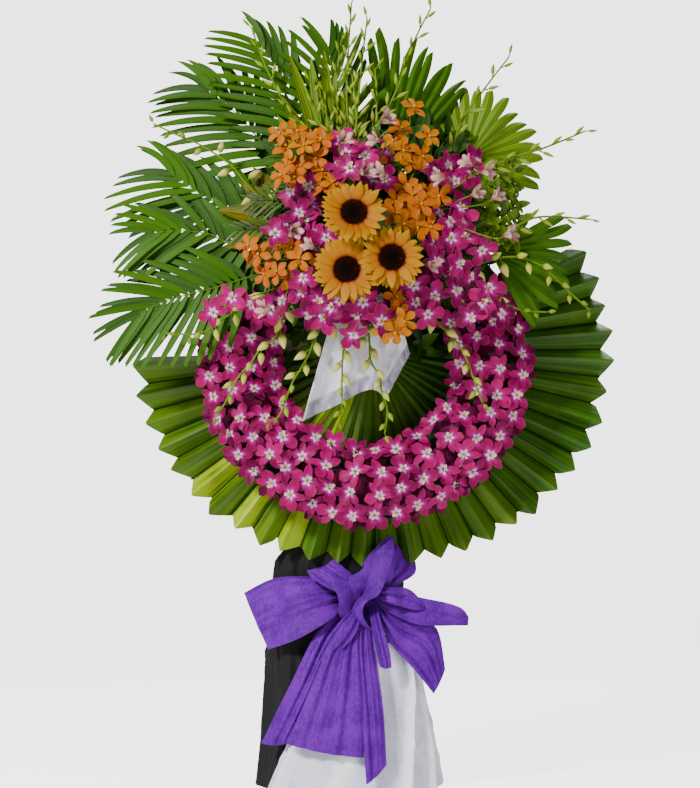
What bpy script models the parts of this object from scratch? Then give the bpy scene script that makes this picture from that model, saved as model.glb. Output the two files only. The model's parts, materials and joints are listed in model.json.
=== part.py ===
"""Funeral flower stand, in metres with +Z up.

A ring of orchids and a rosette of pleated palm leaves lean back on a tripod. A foam block at the
top of the ring holds sunflowers, orchids, bud stems and palm fronds. Black and white cloth and a
purple bow dress the tripod. The front faces -Y, and the origin is on the floor under the middle.
"""

import random
from math import asin, atan2, cos, hypot, pi, radians, sin, sqrt

import bmesh
import bpy
from mathutils import Matrix, Vector

GAP = 0.0003
MM = 0.001

# The face of the wreath leans back on the tripod. Its own axes are u right, depth back and v up.
RING_CENTRE = Vector((0.023, 0.05, 0.882))
LEAN = radians(8)
FACE = Matrix.Translation(RING_CENTRE) @ Matrix.Rotation(-LEAN, 4, "X")

# Places on the front are given as a viewer at this point sees them on the plane y = 0.
VIEWER = Vector((-0.008, -6.0, 0.823))

LEAF_THICKNESS = 0.001
ROSETTE_CENTRE = (0.015, 0.034)
ROSETTE_WIDE = 0.517
ROSETTE_LOW = 0.468
ROSETTE_START = 184.0
ROSETTE_END = 385.0
ROSETTE_LEAVES = 6
PLEATS_PER_LEAF = 5
ROSETTE_NOTCH = 0.028
ROSETTE_INNER = 0.05
PLEAT_RISE = 0.026
ROSETTE_TRIM = 0.002
LEAF_SEAM = 0.0008

RING_RADIUS = 0.26
RING_HALF_WIDTH = 0.072
RING_BACK = -0.0105
RING_FRONT = -0.075
BOARD_RADIUS = 0.20
BOARD_THICKNESS = 0.008
BOARD_FRONT = 0.0070

ARC_START = 150.0
ARC_SWEEP = 40.0
ARC_COUNT = 6
ARC_INNER = 0.178
ARC_OUTER = 0.341
BED_THICKNESS = 0.022
BED_STEPS = 8
BED_CUT = 0.010
BED_SEAM = 0.0006
RING_BLOOM_RADIUS = 0.0282
RING_BLOOM_STAND = 0.0062
RING_BLOOM_TILT = 0.12
# Each row of blooms has its radius and how many blooms stand in one arc.
RING_ROWS = ((0.198, 2), (0.243, 3), (0.289, 3), (0.334, 4))

BLOCK_CENTRE = (0.0, 0.245)
BLOCK_HALF_WIDTH = 0.125
BLOCK_HALF_HEIGHT = 0.08
BLOCK_BACK = RING_FRONT - GAP
BLOCK_FRONT = -0.20
SIDE_HOLE = 0.05
FRONT_HOLE = 0.02
HOLE_PAST = 0.006

LEG_RADIUS = 0.009
LEG_SOCKET = 0.045
HEAD_HALF_WIDTH = 0.05
HEAD_TOP = -0.06
HEAD_FOOT = -0.27
HEAD_FRONT = BOARD_FRONT + BOARD_THICKNESS + GAP
HEAD_BACK = 0.065
LEG_TOPS = {"left": (-0.03, 0.040, -0.238), "right": (0.03, 0.040, -0.238), "rear": (0.0, 0.036, -0.238)}
LEG_FEET = {"left": (-0.145, -0.045), "right": (0.095, -0.045), "rear": (-0.01, 0.19)}
HOOP_HEIGHT = 0.17
HOOP_RADIUS = 0.003
HOOP_STEPS = 20
TURN_STEPS = 32

STEM_SLAB = -0.165
# Each frond has its depth, its leaflets' length, the share of the stem that is bare, and its path.
FRONDS = (
    (-0.132, 0.17, 0.45, ((-280, 1050), (-335, 1036), (-410, 1012), (-455, 990), (-485, 968))),
    (-0.119, 0.16, 0.30, ((-245, 1137), (-340, 1150), (-400, 1158), (-450, 1160), (-480, 1162))),
    (-0.106, 0.18, 0.30, ((-200, 1200), (-285, 1235), (-355, 1285), (-400, 1325))),
    (-0.093, 0.18, 0.30, ((-140, 1290), (-210, 1375), (-265, 1435), (-325, 1475))),
    (-0.119, 0.16, 0.30, ((-70, 1290), (-105, 1395), (-150, 1485), (-190, 1555))),
    (-0.132, 0.16, 0.30, ((-20, 1290), (-30, 1400), (-45, 1480), (-50, 1540))),
)
FROND_PAIRS = 8
RACHIS_RADIUS = 0.003
LEAFLET_WIDTH = 0.017
LEAFLET_THICKNESS = 0.0026
LEAFLET_SWEEP = 0.012
LEAFLET_TWIST = 0.2
LEAFLET_LOW_ANGLE = 62.0
LEAFLET_TIP_ANGLE = 20.0
# Each fan has its depth, its base, the angles of its first and last tip, how many tips, and two reaches.
FANS = (
    (-0.110, (90, 1340), 40.0, 100.0, 9, 0.19, 0.25),
    (-0.090, (215, 1310), -14.0, 78.0, 9, 0.17, 0.17),
    (-0.120, (305, 1140), -66.0, 20.0, 8, 0.13, 0.165),
)
FAN_INNER = 0.012
FAN_SPLIT = 0.70
FAN_RISE = 0.032
FAN_STALK_RADIUS = 0.003
FAN_STALK_PAST_BASE = 0.045
# Each sunflower has its place, its depth, how far it looks up, and its hole in the block's front.
SUNFLOWERS = (
    ((0, 1205), -0.330, 0.25, (0.0, 0.285)),
    ((-15, 1085), -0.295, 0.0, (-0.03, 0.225)),
    ((80, 1110), -0.315, 0.0, (0.045, 0.235)),
)
RAYS_PER_LAYER = 11
RAY_ROOT = 0.020
RAY_LENGTH = 0.046
RAY_WIDTH = 0.020
RAY_THICKNESS = 0.003
RAY_BEHIND = 0.0045
RAY_CUP = 0.10
RECEPTACLE_RADIUS = 0.027
RECEPTACLE_BASE = 0.018
RECEPTACLE_DEPTH = 0.012
SUNFLOWER_STEM = 0.004
SUNFLOWER_HALF_DEPTH = 0.016
DISC_RADIUS = 0.029
DISC_HEIGHT = 0.006
DISC_RIM = 0.0015
FLORET_RELIEF = 0.0009
FLORETS_ROUND = 16
MOKARA_RADIUS = 0.023
MOKARA_DEPTH = -0.250
DENDROBIUM_RADIUS = 0.027
DENDROBIUM_DEPTH = -0.232
BLOOM_HALF_DEPTH = 0.009
BLOOM_TILT = 0.13
DEPTH_STEP = 0.004
MAIN_STEM = 0.003
BRANCH_STEM = 0.002
# The main stem stands this far out of the block, and its branches leave it a little lower.
FORK = 0.012
COLLAR = 0.007
MOKARAS = {
    "upper_left": ((-0.095, 0.300), (
        (-155, 1370), (-125, 1360), (-90, 1365), (-140, 1335), (-75, 1335), (-145, 1300), (-115, 1300),
        (-70, 1300),
    )),
    "left": ((-0.105, 0.200), (
        (-225, 1130), (-205, 1110), (-155, 1130), (-125, 1120), (-185, 1075), (-130, 1070),
    )),
    "upper_right": ((0.070, 0.305), (
        (125, 1425), (100, 1375), (155, 1365), (105, 1325), (135, 1315), (40, 1305),
    )),
    "right": ((0.085, 0.255), ((110, 1250), (160, 1240), (80, 1210), (130, 1200), (140, 1165))),
    "lower": ((0.055, 0.185), ((90, 1035), (90, 990), (110, 965), (65, 955))),
}
DENDROBIUMS = {
    "top": ((-0.020, 0.312), ((-25, 1350), (5, 1330), (-25, 1285), (65, 1270))),
    "left": ((-0.105, 0.250), ((-130, 1245), (-90, 1220), (-140, 1180), (-55, 1255))),
    "right": ((0.112, 0.290), (
        (205, 1300), (245, 1300), (215, 1265), (185, 1205), (225, 1180), (175, 1140), (245, 1145),
        (275, 1120),
    )),
    "lower_right": ((0.112, 0.185), (
        (200, 1080), (240, 1065), (145, 1065), (120, 1035), (285, 1045), (245, 985), (310, 990),
    )),
    "lower_left": ((-0.045, 0.180), (
        (-125, 1045), (-55, 1000), (-90, 990), (30, 990), (-10, 985), (5, 945), (-170, 1005),
        (-255, 1025), (-295, 995),
    )),
}
BUD_MAIN_STEM = 0.0025
BUD_STEM = 0.0018
BUD_STEP = 0.060
BUD_BARE = 0.28
BUD_ANGLE = 48.0
BUD_LENGTH = 0.026
BUD_RADIUS = 0.0068
BUD_SHRINK = 0.45
# Stems of one spray lie this far in front of each other, so that none slides along its neighbour.
BUD_STEM_SHIFT = 0.0007
BUD_SPRAYS = {
    "bud_spikes_top": ((0, 1290), (
        ((-15, 1450), (-5, 1645)),
        ((15, 1480), (25, 1640)),
        ((-35, 1450), (-25, 1595)),
        ((30, 1450), (40, 1565)),
        ((90, 1490), (160, 1630)),
    )),
    "bud_spikes_right": ((170, 1240), (
        ((225, 1390), (275, 1465), (325, 1530)),
        ((310, 1310), (400, 1340), (485, 1375)),
        ((300, 1170), (390, 1195), (495, 1190)),
    )),
    "bud_spike_left": ((-170, 1215), (
        ((-225, 1265), (-260, 1305), (-320, 1345), (-360, 1362), (-420, 1390)),
    )),
    "bud_spray_hanging_left": ((-130, 1040), (
        ((-220, 1015), (-290, 970), (-325, 950), (-395, 950)),
        ((-160, 950), (-195, 920), (-215, 890), (-245, 855), (-270, 805), (-290, 775)),
    )),
    "bud_spray_hanging_middle": ((0, 1030), (
        ((-70, 960), (-95, 905), (-115, 870), (-130, 845), (-155, 780), (-180, 765)),
        ((-20, 930), (-25, 860), (-25, 800), (-30, 765)),
        ((30, 960), (35, 895), (55, 860), (58, 830), (70, 790), (65, 740)),
    )),
    "bud_spray_hanging_right": ((155, 1065), (
        ((315, 1110), (390, 1095), (420, 1070), (455, 1035), (495, 1000)),
        ((215, 1055), (270, 1035), (305, 1020), (350, 1000), (405, 995)),
        ((170, 985), (210, 940), (235, 900), (250, 860), (270, 805)),
    )),
}

FILLER_DEPTH = -0.148
FILLER_STALK = 0.0025
FILLER_ROOT = 0.008
FILLER_THICKNESS = 0.004
# Each group of leaves has its width, where its stalk ends, and its leaf tips.
PALE_LEAVES_TOP = (0.024, (-60, 1270), ((-75, 1540), (-110, 1500), (-40, 1520), (-130, 1450)))
BROAD_LEAF_LEFT = (0.040, (-160, 1190), ((-235, 1265), (-285, 1215), (-270, 1130), (-230, 1090)))
BROAD_LEAF_RIGHT = (0.040, (170, 1165), ((255, 1215), (265, 1135)))

CLOTH = 0.001
SKIRT_LEVELS = (0.0015, 0.15, 0.33, 0.43, 0.52, 0.59)
COLLAR_LEVELS = (-0.275, -0.215)
SKIRT_COLUMNS = 24
SKIRT_FOLD = 0.006
SKIRT_FOLDS = 8
SKIRT_FADE = 0.62
WHITE_LEVELS = (0.0015, 0.09, 0.19, 0.30, 0.36, 0.42)
SKIRT_FRONT = ((0.0, -0.130), (0.33, -0.032), (0.43, 0.004), (0.52, 0.020), (0.59, 0.031))
SKIRT_BACK = ((0.0, 0.250), (0.43, 0.190), (0.59, 0.120))
SKIRT_LEFT = ((0.0, -0.205), (0.24, -0.182), (0.47, -0.165), (0.59, -0.065))
SKIRT_RIGHT = ((0.0, 0.170), (0.47, 0.120), (0.59, 0.105))
# The white cloth lies this far outside the black cloth, and reaches to these sides, by height.
WHITE_STAND = ((0.0, 0.015), (0.30, 0.006), (0.42, 0.0016))
WHITE_LEFT = ((0.0, -0.175), (0.10, -0.135), (0.30, -0.045), (0.42, 0.005))
WHITE_RIGHT = ((0.0, 0.187), (0.145, 0.150), (0.30, 0.080), (0.42, 0.050))
WHITE_COLUMNS = 15
WHITE_FOLD = 0.0035
WHITE_FOLDS = 17

PAPER_THICKNESS = 0.0008
PAPER_DEPTH = -0.138
PAPER_PLEAT = 0.012
PAPER_TOP_WIDTH = 0.09
PAPER_HEM = (
    (-108, 765), (-70, 785), (-30, 802), (5, 822), (40, 833), (68, 820), (88, 852), (106, 885), (118, 908),
)

KNOT = (0.028, 0.398)
KNOT_RADII = (0.034, 0.020, 0.030)
RIBBON_THICKNESS = 0.0016
RIBBON_FOLD = 0.012
RIBBON_SAG = 0.02
RIBBON_CLEAR = 0.004
# Each loop or tail has the two ends of its free edge, how far forward it stands, and its folds.
RIBBONS = (
    ((-235, 408), (-178, 292), -0.020, 3),
    ((-190, 98), (-82, 113), -0.045, 3),
    ((-88, 112), (62, 62), -0.060, 3),
    ((186, 342), (165, 200), -0.035, 3),
    ((238, 366), (205, 335), -0.050, 1),
    ((38, 500), (86, 530), -0.050, 2),
    ((92, 515), (135, 468), -0.030, 2),
    ((-45, 484), (5, 470), -0.035, 2),
)


collection = bpy.data.collections.new("funeral_flower_stand")
cutters = bpy.data.collections.new("cutters")
stem_holes = []
flower_places = []
random_source = random.Random(7)


def clear_scene():
    for old in list(bpy.data.objects):
        bpy.data.objects.remove(old)
    bpy.context.scene.collection.children.link(collection)
    bpy.context.scene.collection.children.link(cutters)
    cutters.hide_render = True


def material(name, colour, roughness=0.6, metallic=0.0):
    made = bpy.data.materials.new(name)
    made.use_nodes = True
    shader = made.node_tree.nodes["Principled BSDF"]
    shader.inputs["Base Color"].default_value = (*colour, 1.0)
    shader.inputs["Roughness"].default_value = roughness
    shader.inputs["Metallic"].default_value = metallic
    return made


def place(name, mesh, finish, parent=None):
    mesh.materials.clear()
    mesh.materials.append(finish)
    made = bpy.data.objects.new(name, mesh)
    made.parent = parent
    collection.objects.link(made)
    return made


def mesh_of(shape, name="shape"):
    made = bpy.data.meshes.new(name)
    shape.to_mesh(made)
    shape.free()
    return made


def evaluated_mesh(source):
    """The mesh of an object as its modifiers leave it. The object is removed."""
    bpy.context.view_layer.update()
    graph = bpy.context.evaluated_depsgraph_get()
    made = bpy.data.meshes.new_from_object(source.evaluated_get(graph), depsgraph=graph)
    made.transform(source.matrix_world)
    bpy.data.objects.remove(source)
    return made


def tube(points, radius, sides=4, tip_scale=1.0):
    """A closed round stem through the points, which may taper towards its far end."""
    curve = bpy.data.curves.new("stem", "CURVE")
    curve.dimensions = "3D"
    curve.bevel_depth = radius
    curve.bevel_resolution = (sides - 4) // 2
    curve.use_fill_caps = True
    spline = curve.splines.new("POLY")
    spline.points.add(len(points) - 1)
    last = len(points) - 1
    for index, (knot, point) in enumerate(zip(spline.points, points)):
        knot.co = (*point, 1.0)
        knot.radius = 1.0 + (tip_scale - 1.0) * index / last
    guide = bpy.data.objects.new("stem", curve)
    cutters.objects.link(guide)
    made = evaluated_mesh(guide)
    shape = bmesh.new()
    shape.from_mesh(made)
    bmesh.ops.remove_doubles(shape, verts=shape.verts, dist=1e-6)
    bmesh.ops.recalc_face_normals(shape, faces=shape.faces)
    shape.to_mesh(made)
    shape.free()
    return made


def sheet(columns, rows, spot, wrap=False):
    """An open surface whose point at (across, along), each 0 to 1, is spot(across, along)."""
    shape = bmesh.new()
    bmesh.ops.create_grid(shape, x_segments=columns, y_segments=rows, size=1.0)
    for vert in shape.verts:
        vert.co = spot((vert.co.x + 1.0) / 2.0, (vert.co.y + 1.0) / 2.0)
    if wrap:
        bmesh.ops.remove_doubles(shape, verts=shape.verts, dist=1e-5)
    bmesh.ops.triangulate(shape, faces=shape.faces, quad_method="FIXED")
    return mesh_of(shape)


def thicken(made, thickness):
    modifier = made.modifiers.new("thickness", "SOLIDIFY")
    modifier.thickness = thickness
    modifier.offset = 0.0
    return made


def solid_sheet(mesh, thickness):
    """A sheet as a closed mesh, to be joined to others."""
    guide = bpy.data.objects.new("sheet", mesh)
    cutters.objects.link(guide)
    return evaluated_mesh(thicken(guide, thickness))


def star(outline, front, back):
    """A closed body whose rim has the points of the outline and which rises to one point on each side."""
    shape = bmesh.new()
    bmesh.ops.create_cone(
        shape, cap_ends=True, cap_tris=True, segments=len(outline), radius1=1.0, radius2=0.0, depth=2.0
    )
    rim = [vert for vert in shape.verts if hypot(vert.co.x, vert.co.y) > 0.5]
    rim.sort(key=lambda vert: atan2(vert.co.x, vert.co.y) % (2 * pi))
    for vert in shape.verts:
        if vert not in rim:
            vert.co = front if vert.co.z > 0 else back
    for vert, point in zip(rim, outline):
        vert.co = point
    return mesh_of(shape)


def bloom(radius, petals=5):
    """An orchid bloom that faces +Z: five cupped petals round a raised middle."""
    outline = []
    for petal in range(petals):
        for turn, reach in ((0.0, 0.40), (0.5, 1.0)):
            angle = 2 * pi * (petal + turn) / petals
            spread = radius * reach
            outline.append((spread * sin(angle), spread * cos(angle), 0.22 * spread))
    return star(outline, (0, 0, 0.20 * radius), (0, 0, -0.30 * radius))


def blade(length, width, thickness, sweep=0.0):
    """A pointed leaflet or petal along +X, folded along its middle."""
    outline = (
        (0.0, 0.0, 0.0),
        (0.42 * length, 0.5 * width + 0.2 * sweep, 0.0),
        (length, sweep, 0.0),
        (0.42 * length, -0.5 * width + 0.2 * sweep, 0.0),
    )
    middle = (0.42 * length, 0.2 * sweep)
    return star(outline, (*middle, 0.5 * thickness), (*middle, -0.5 * thickness))


def bud(length, radius):
    """A flower bud along +Z, fattest past its middle."""
    ring = [(radius * sin(2 * pi * k / 3), radius * cos(2 * pi * k / 3), 0.55 * length) for k in range(3)]
    return star(ring, (0, 0, length), (0, 0, 0))


def aim(point, direction, roll=0.0):
    """A placement whose +Z runs along the direction."""
    turn = Vector(direction).to_track_quat("Z", "Y").to_matrix().to_4x4()
    return Matrix.Translation(point) @ turn @ Matrix.Rotation(roll, 4, "Z")


def placed(mesh, matrix):
    made = mesh.copy()
    made.transform(matrix)
    return made


def facing_front(point, tilt):
    """A placement that looks forwards, a little off to one side, at any roll."""
    lean = (random_source.uniform(-tilt, tilt), -1.0, random_source.uniform(-tilt, tilt))
    return aim(point, lean, random_source.uniform(0, 2 * pi))


def largest_body(mesh):
    """Drops loose scraps and fills sealed hollows, so that one closed body is left."""
    shape = bmesh.new()
    shape.from_mesh(mesh)
    left = set(shape.verts)
    islands = []
    while left:
        island = {left.pop()}
        edge_of_search = set(island)
        while edge_of_search:
            reached = {edge.other_vert(vert) for vert in edge_of_search for edge in vert.link_edges}
            edge_of_search = reached - island
            island |= reached
        left -= island
        islands.append(island)
    islands.sort(key=len)
    scraps = [vert for island in islands[:-1] for vert in island]
    bmesh.ops.delete(shape, geom=scraps, context="VERTS")
    shape.to_mesh(mesh)
    shape.free()
    return mesh


def fuse(name, meshes, solver="MANIFOLD"):
    """One closed body from meshes that overlap, joined in one union."""
    base = bpy.data.objects.new(name, meshes[0])
    cutters.objects.link(base)
    others = bpy.data.collections.new("joined")
    cutters.children.link(others)
    for mesh in meshes[1:]:
        others.objects.link(bpy.data.objects.new("piece", mesh))
    union = base.modifiers.new("union", "BOOLEAN")
    union.operation = "UNION"
    union.operand_type = "COLLECTION"
    union.collection = others
    union.solver = solver
    made = evaluated_mesh(base)
    for piece in list(others.objects):
        bpy.data.objects.remove(piece)
    bpy.data.collections.remove(others)
    made.name = name
    return largest_body(made)


def on_face(x_mm, z_mm, depth):
    """The point at this depth of the face that the viewer sees at x, z on the plane y = 0."""
    inverse = FACE.inverted()
    eye = inverse @ VIEWER
    seen = inverse @ Vector((x_mm * MM, 0.0, z_mm * MM))
    along = (depth - eye.y) / (seen.y - eye.y)
    return eye + (seen - eye) * along


def free_depth(x_mm, z_mm, depth, radius, half_thickness, owner):
    """The first depth, from the given one forwards, where a bloom is clear of every other flower head."""
    while True:
        here = on_face(x_mm, z_mm, depth)
        clear = True
        for other, reach, half, other_owner in flower_places:
            apart = hypot(here.x - other.x, here.z - other.z)
            deep = abs(here.y - other.y)
            if other_owner != owner and apart < radius + reach and deep < half_thickness + half:
                clear = False
        if clear:
            flower_places.append((here, radius, half_thickness, owner))
            return here
        depth -= DEPTH_STEP


def side_root(target, depth, radius):
    """Where a stem that heads for the target starts in a hole in the side, top or foot of the block."""
    across = target[0] - BLOCK_CENTRE[0]
    up = target[1] - BLOCK_CENTRE[1]
    reach = hypot(across, up)
    across, up = across / reach, up / reach
    wall = min(BLOCK_HALF_WIDTH / max(abs(across), 1e-6), BLOCK_HALF_HEIGHT / max(abs(up), 1e-6))
    start = wall - SIDE_HOLE * min(1.0, wall / 0.1)
    root = Vector((BLOCK_CENTRE[0] + across * start, depth, BLOCK_CENTRE[1] + up * start))
    stem_holes.append((root, Vector((across, 0.0, up)), radius, wall - start))
    return root


def front_root(place_on_block, radius):
    """Where a stem starts in a hole in the front of the block, which it leaves straight forwards."""
    root = Vector((place_on_block[0], BLOCK_FRONT + FRONT_HOLE, place_on_block[1]))
    stem_holes.append((root, Vector((0.0, -1.0, 0.0)), radius, FRONT_HOLE))
    return root



def leg_line(side):
    foot = Vector((*LEG_FEET[side], 0.0))
    return foot, FACE @ Vector(LEG_TOPS[side])


def box(low, high):
    shape = bmesh.new()
    bmesh.ops.create_cube(shape, size=1.0)
    for vert in shape.verts:
        vert.co = [l + (h - l) * (c + 0.5) for l, h, c in zip(low, high, vert.co)]
    return mesh_of(shape)


def cutter(mesh, group, parent):
    made = bpy.data.objects.new("cutter", mesh)
    made.parent = parent
    made.display_type = "WIRE"
    made.hide_render = True
    group.objects.link(made)
    return made


def hole_cutter(start, direction, radius, length, sides):
    """A prism round a stem's buried length, clear of it by the gap, which runs out past the surface."""
    shape = bmesh.new()
    bmesh.ops.create_cone(
        shape,
        cap_ends=True,
        segments=sides,
        radius1=(radius + GAP) / cos(pi / sides),
        radius2=(radius + GAP) / cos(pi / sides),
        depth=length + GAP + HOLE_PAST,
    )
    made = mesh_of(shape)
    middle = (length - GAP + HOLE_PAST) / 2.0
    made.transform(aim(Vector(start) + Vector(direction) * middle, direction))
    return made


def cut_holes(target, group_name, meshes):
    group = bpy.data.collections.new(group_name)
    cutters.children.link(group)
    group.hide_render = True
    for mesh in meshes:
        cutter(mesh, group, target.parent)
    cut = target.modifiers.new("holes", "BOOLEAN")
    cut.operation = "DIFFERENCE"
    cut.operand_type = "COLLECTION"
    cut.collection = group


def build_tripod(face, wood):
    """Three round poles whose tops stand in holes in a head block, and a hoop that the poles close round."""
    sockets = []
    inverse = FACE.inverted()
    for side in LEG_FEET:
        foot, top = leg_line(side)
        pole = tube([foot, top], LEG_RADIUS, sides=8)
        direction = (top - foot).normalized()
        for vert in pole.vertices:
            if vert.co.z < 0.05:
                vert.co = vert.co - direction * (vert.co.z / direction.z)
        place(f"tripod_leg_{side}", pole, wood)
        local_top = inverse @ top
        local_direction = (inverse.to_3x3() @ -direction).normalized()
        sockets.append(hole_cutter(local_top, local_direction, LEG_RADIUS, LEG_SOCKET, 12))
    head = place(
        "tripod_head",
        box((-HEAD_HALF_WIDTH, HEAD_FRONT, HEAD_FOOT), (HEAD_HALF_WIDTH, HEAD_BACK, HEAD_TOP)),
        wood,
        face,
    )
    cut_holes(head, "leg_sockets", sockets)


def leg_at(side, height):
    foot, top = leg_line(side)
    return foot + (top - foot) * (height / top.z)


def build_hoop(steel):
    a, b, c = (leg_at(side, HOOP_HEIGHT).to_2d() for side in LEG_FEET)
    double_area = (b - a).cross(c - a)
    centre = a + Vector((
        (c - a).y * (b - a).length_squared - (b - a).y * (c - a).length_squared,
        (b - a).x * (c - a).length_squared - (c - a).x * (b - a).length_squared,
    )) / (2.0 * double_area)
    reach = (a - centre).length - LEG_RADIUS - HOOP_RADIUS - GAP
    curve = bpy.data.curves.new("hoop", "CURVE")
    curve.dimensions = "3D"
    curve.bevel_depth = HOOP_RADIUS
    curve.bevel_resolution = 0
    spline = curve.splines.new("POLY")
    spline.points.add(HOOP_STEPS - 1)
    for step, knot in enumerate(spline.points):
        angle = 2 * pi * step / HOOP_STEPS
        knot.co = (centre.x + reach * cos(angle), centre.y + reach * sin(angle), HOOP_HEIGHT, 1.0)
    spline.use_cyclic_u = True
    guide = bpy.data.objects.new("hoop", curve)
    cutters.objects.link(guide)
    place("tripod_hoop", evaluated_mesh(guide), steel)


def turned(name, profile, finish, face, closed):
    """A ring or disc turned about the wreath's own axis, from points (radius, depth)."""
    mesh = bpy.data.meshes.new(name)
    edges = [(k, k + 1) for k in range(len(profile) - 1)]
    if closed:
        edges.append((len(profile) - 1, 0))
    mesh.from_pydata([(radius, 0.0, -depth) for radius, depth in profile], edges, [])
    made = place(name, mesh, finish, face)
    made.rotation_euler = (pi / 2, 0.0, 0.0)
    screw = made.modifiers.new("turn", "SCREW")
    screw.steps = TURN_STEPS
    screw.render_steps = TURN_STEPS
    screw.use_merge_vertices = True
    screw.merge_threshold = 0.00001
    return made


def build_board_and_ring(face, foam, board_finish):
    back = BOARD_FRONT + BOARD_THICKNESS
    turned(
        "backing_board",
        [(0.0, BOARD_FRONT), (BOARD_RADIUS, BOARD_FRONT), (BOARD_RADIUS, back), (0.0, back)],
        board_finish,
        face,
        False,
    )
    inner = RING_RADIUS - RING_HALF_WIDTH
    outer = RING_RADIUS + RING_HALF_WIDTH
    turned(
        "wreath_foam_ring",
        [(inner, RING_FRONT), (outer, RING_FRONT), (outer, RING_BACK), (inner, RING_BACK)],
        foam,
        face,
        True,
    )


def build_block(face, foam):
    low = (BLOCK_CENTRE[0] - BLOCK_HALF_WIDTH, BLOCK_FRONT, BLOCK_CENTRE[1] - BLOCK_HALF_HEIGHT)
    high = (BLOCK_CENTRE[0] + BLOCK_HALF_WIDTH, BLOCK_BACK, BLOCK_CENTRE[1] + BLOCK_HALF_HEIGHT)
    block = place("foam_block", box(low, high), foam, face)
    cut_holes(block, "stem_holes", [hole_cutter(*hole, 4) for hole in stem_holes])


def leaf_radius(angle):
    """How far the rosette reaches from its middle: wide at the sides, a little less below."""
    return sqrt((ROSETTE_WIDE * cos(angle)) ** 2 + (ROSETTE_LOW * sin(angle)) ** 2)


def build_rosette(face, leaf_finish):
    """Fan-palm leaves, folded in pleats and trimmed to a zigzag, side by side round the middle."""
    sweep = radians(ROSETTE_END - ROSETTE_START) / ROSETTE_LEAVES
    halves = 2 * PLEATS_PER_LEAF
    for leaf in range(ROSETTE_LEAVES):
        begin = radians(ROSETTE_START) + leaf * sweep

        def spot(across, along):
            fold = round(across * halves)
            angle = begin + sweep * across
            raised = fold % 2
            outer = leaf_radius(angle) - (0.0 if raised else ROSETTE_NOTCH)
            outer -= ROSETTE_TRIM * ((leaf * 5 + fold * 3) % 4)
            spread = ROSETTE_INNER + (outer - ROSETTE_INNER) * along
            if fold == 0:
                angle += LEAF_SEAM / spread
            if fold == halves:
                angle -= LEAF_SEAM / spread
            depth = PLEAT_RISE * spread * (-1.0 if raised else 1.0)
            return (ROSETTE_CENTRE[0] + spread * cos(angle), depth, ROSETTE_CENTRE[1] + spread * sin(angle))

        made = place(f"rosette_leaf_{leaf + 1}", sheet(halves, 2, spot), leaf_finish, face)
        thicken(made, LEAF_THICKNESS)


def build_ring_orchids(face, petal_finish):
    """Orchid blooms over the ring, in short arcs, on a leafy bed with a cut edge that they stand out of."""
    flower = bloom(RING_BLOOM_RADIUS)
    bed_depth = RING_FRONT - GAP - BED_THICKNESS / 2.0
    front = RING_FRONT - GAP - BED_THICKNESS
    for arc in range(ARC_COUNT):
        begin = radians(ARC_START + arc * ARC_SWEEP)
        sweep = radians(ARC_SWEEP)

        def spot(across, along):
            edge = round(across * BED_STEPS) % 2 * BED_CUT
            inner, outer = ARC_INNER + edge, ARC_OUTER - edge
            spread = inner + (outer - inner) * along
            angle = begin + BED_SEAM / spread + (sweep - 2.0 * BED_SEAM / spread) * across
            return (spread * cos(angle), bed_depth, spread * sin(angle))

        meshes = [solid_sheet(sheet(BED_STEPS, 1, spot), BED_THICKNESS)]
        for spread, count in RING_ROWS:
            for step in range(count):
                angle = begin + sweep * (step + 0.5) / count
                point = Vector((spread * cos(angle), front - RING_BLOOM_STAND, spread * sin(angle)))
                meshes.append(placed(flower, facing_front(point, RING_BLOOM_TILT)))
        place(f"ring_orchids_{arc + 1}", fuse("ring_orchids", meshes), petal_finish, face)



def flat_blade_matrix(point, direction, twist=0.0):
    """A placement for a blade whose length runs along a direction in the wreath's plane."""
    along = Vector((direction[0], 0.0, direction[1])).normalized()
    front = Vector((0.0, -1.0, 0.0))
    side = front.cross(along)
    turn = Matrix((along, side, front)).transposed().to_4x4()
    return Matrix.Translation(point) @ turn @ Matrix.Rotation(twist, 4, "X")


def along_path(points, share):
    """The point and the direction at this share of a path's length."""
    lengths = [(b - a).length for a, b in zip(points, points[1:])]
    left = share * sum(lengths)
    for a, b, length in zip(points, points[1:], lengths):
        if left <= length:
            break
        left -= length
    return a + (b - a) * min(left / length, 1.0), (b - a).normalized()


def build_fronds(face, frond_finish):
    """Feathered palm fronds: a tapering rachis with a row of narrow leaflets on each side."""
    for number, (depth, length, bare, places) in enumerate(FRONDS):
        path = [on_face(*spot, depth) for spot in places]
        root = side_root((path[0].x, path[0].z), depth, RACHIS_RADIUS)
        meshes = [tube([root, *path], RACHIS_RADIUS, tip_scale=0.4)]
        for pair in range(FROND_PAIRS):
            share = pair / (FROND_PAIRS - 1)
            point, tangent = along_path([root, *path], bare + (0.97 - bare) * share)
            # The leaflets are longest a little before the middle of the frond.
            reach = length * (0.72 + 0.9 * share - 1.05 * share * share)
            spread = LEAFLET_LOW_ANGLE + (LEAFLET_TIP_ANGLE - LEAFLET_LOW_ANGLE) * share
            for side in (-1, 1):
                angle = side * radians(spread)
                direction = (
                    tangent.x * cos(angle) - tangent.z * sin(angle),
                    tangent.x * sin(angle) + tangent.z * cos(angle),
                )
                leaflet = blade(reach, LEAFLET_WIDTH, LEAFLET_THICKNESS, sweep=-side * LEAFLET_SWEEP)
                meshes.append(placed(leaflet, flat_blade_matrix(point, direction, side * LEAFLET_TWIST)))
        place(f"palm_frond_{number + 1}", fuse("frond", meshes), frond_finish, face)


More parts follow.
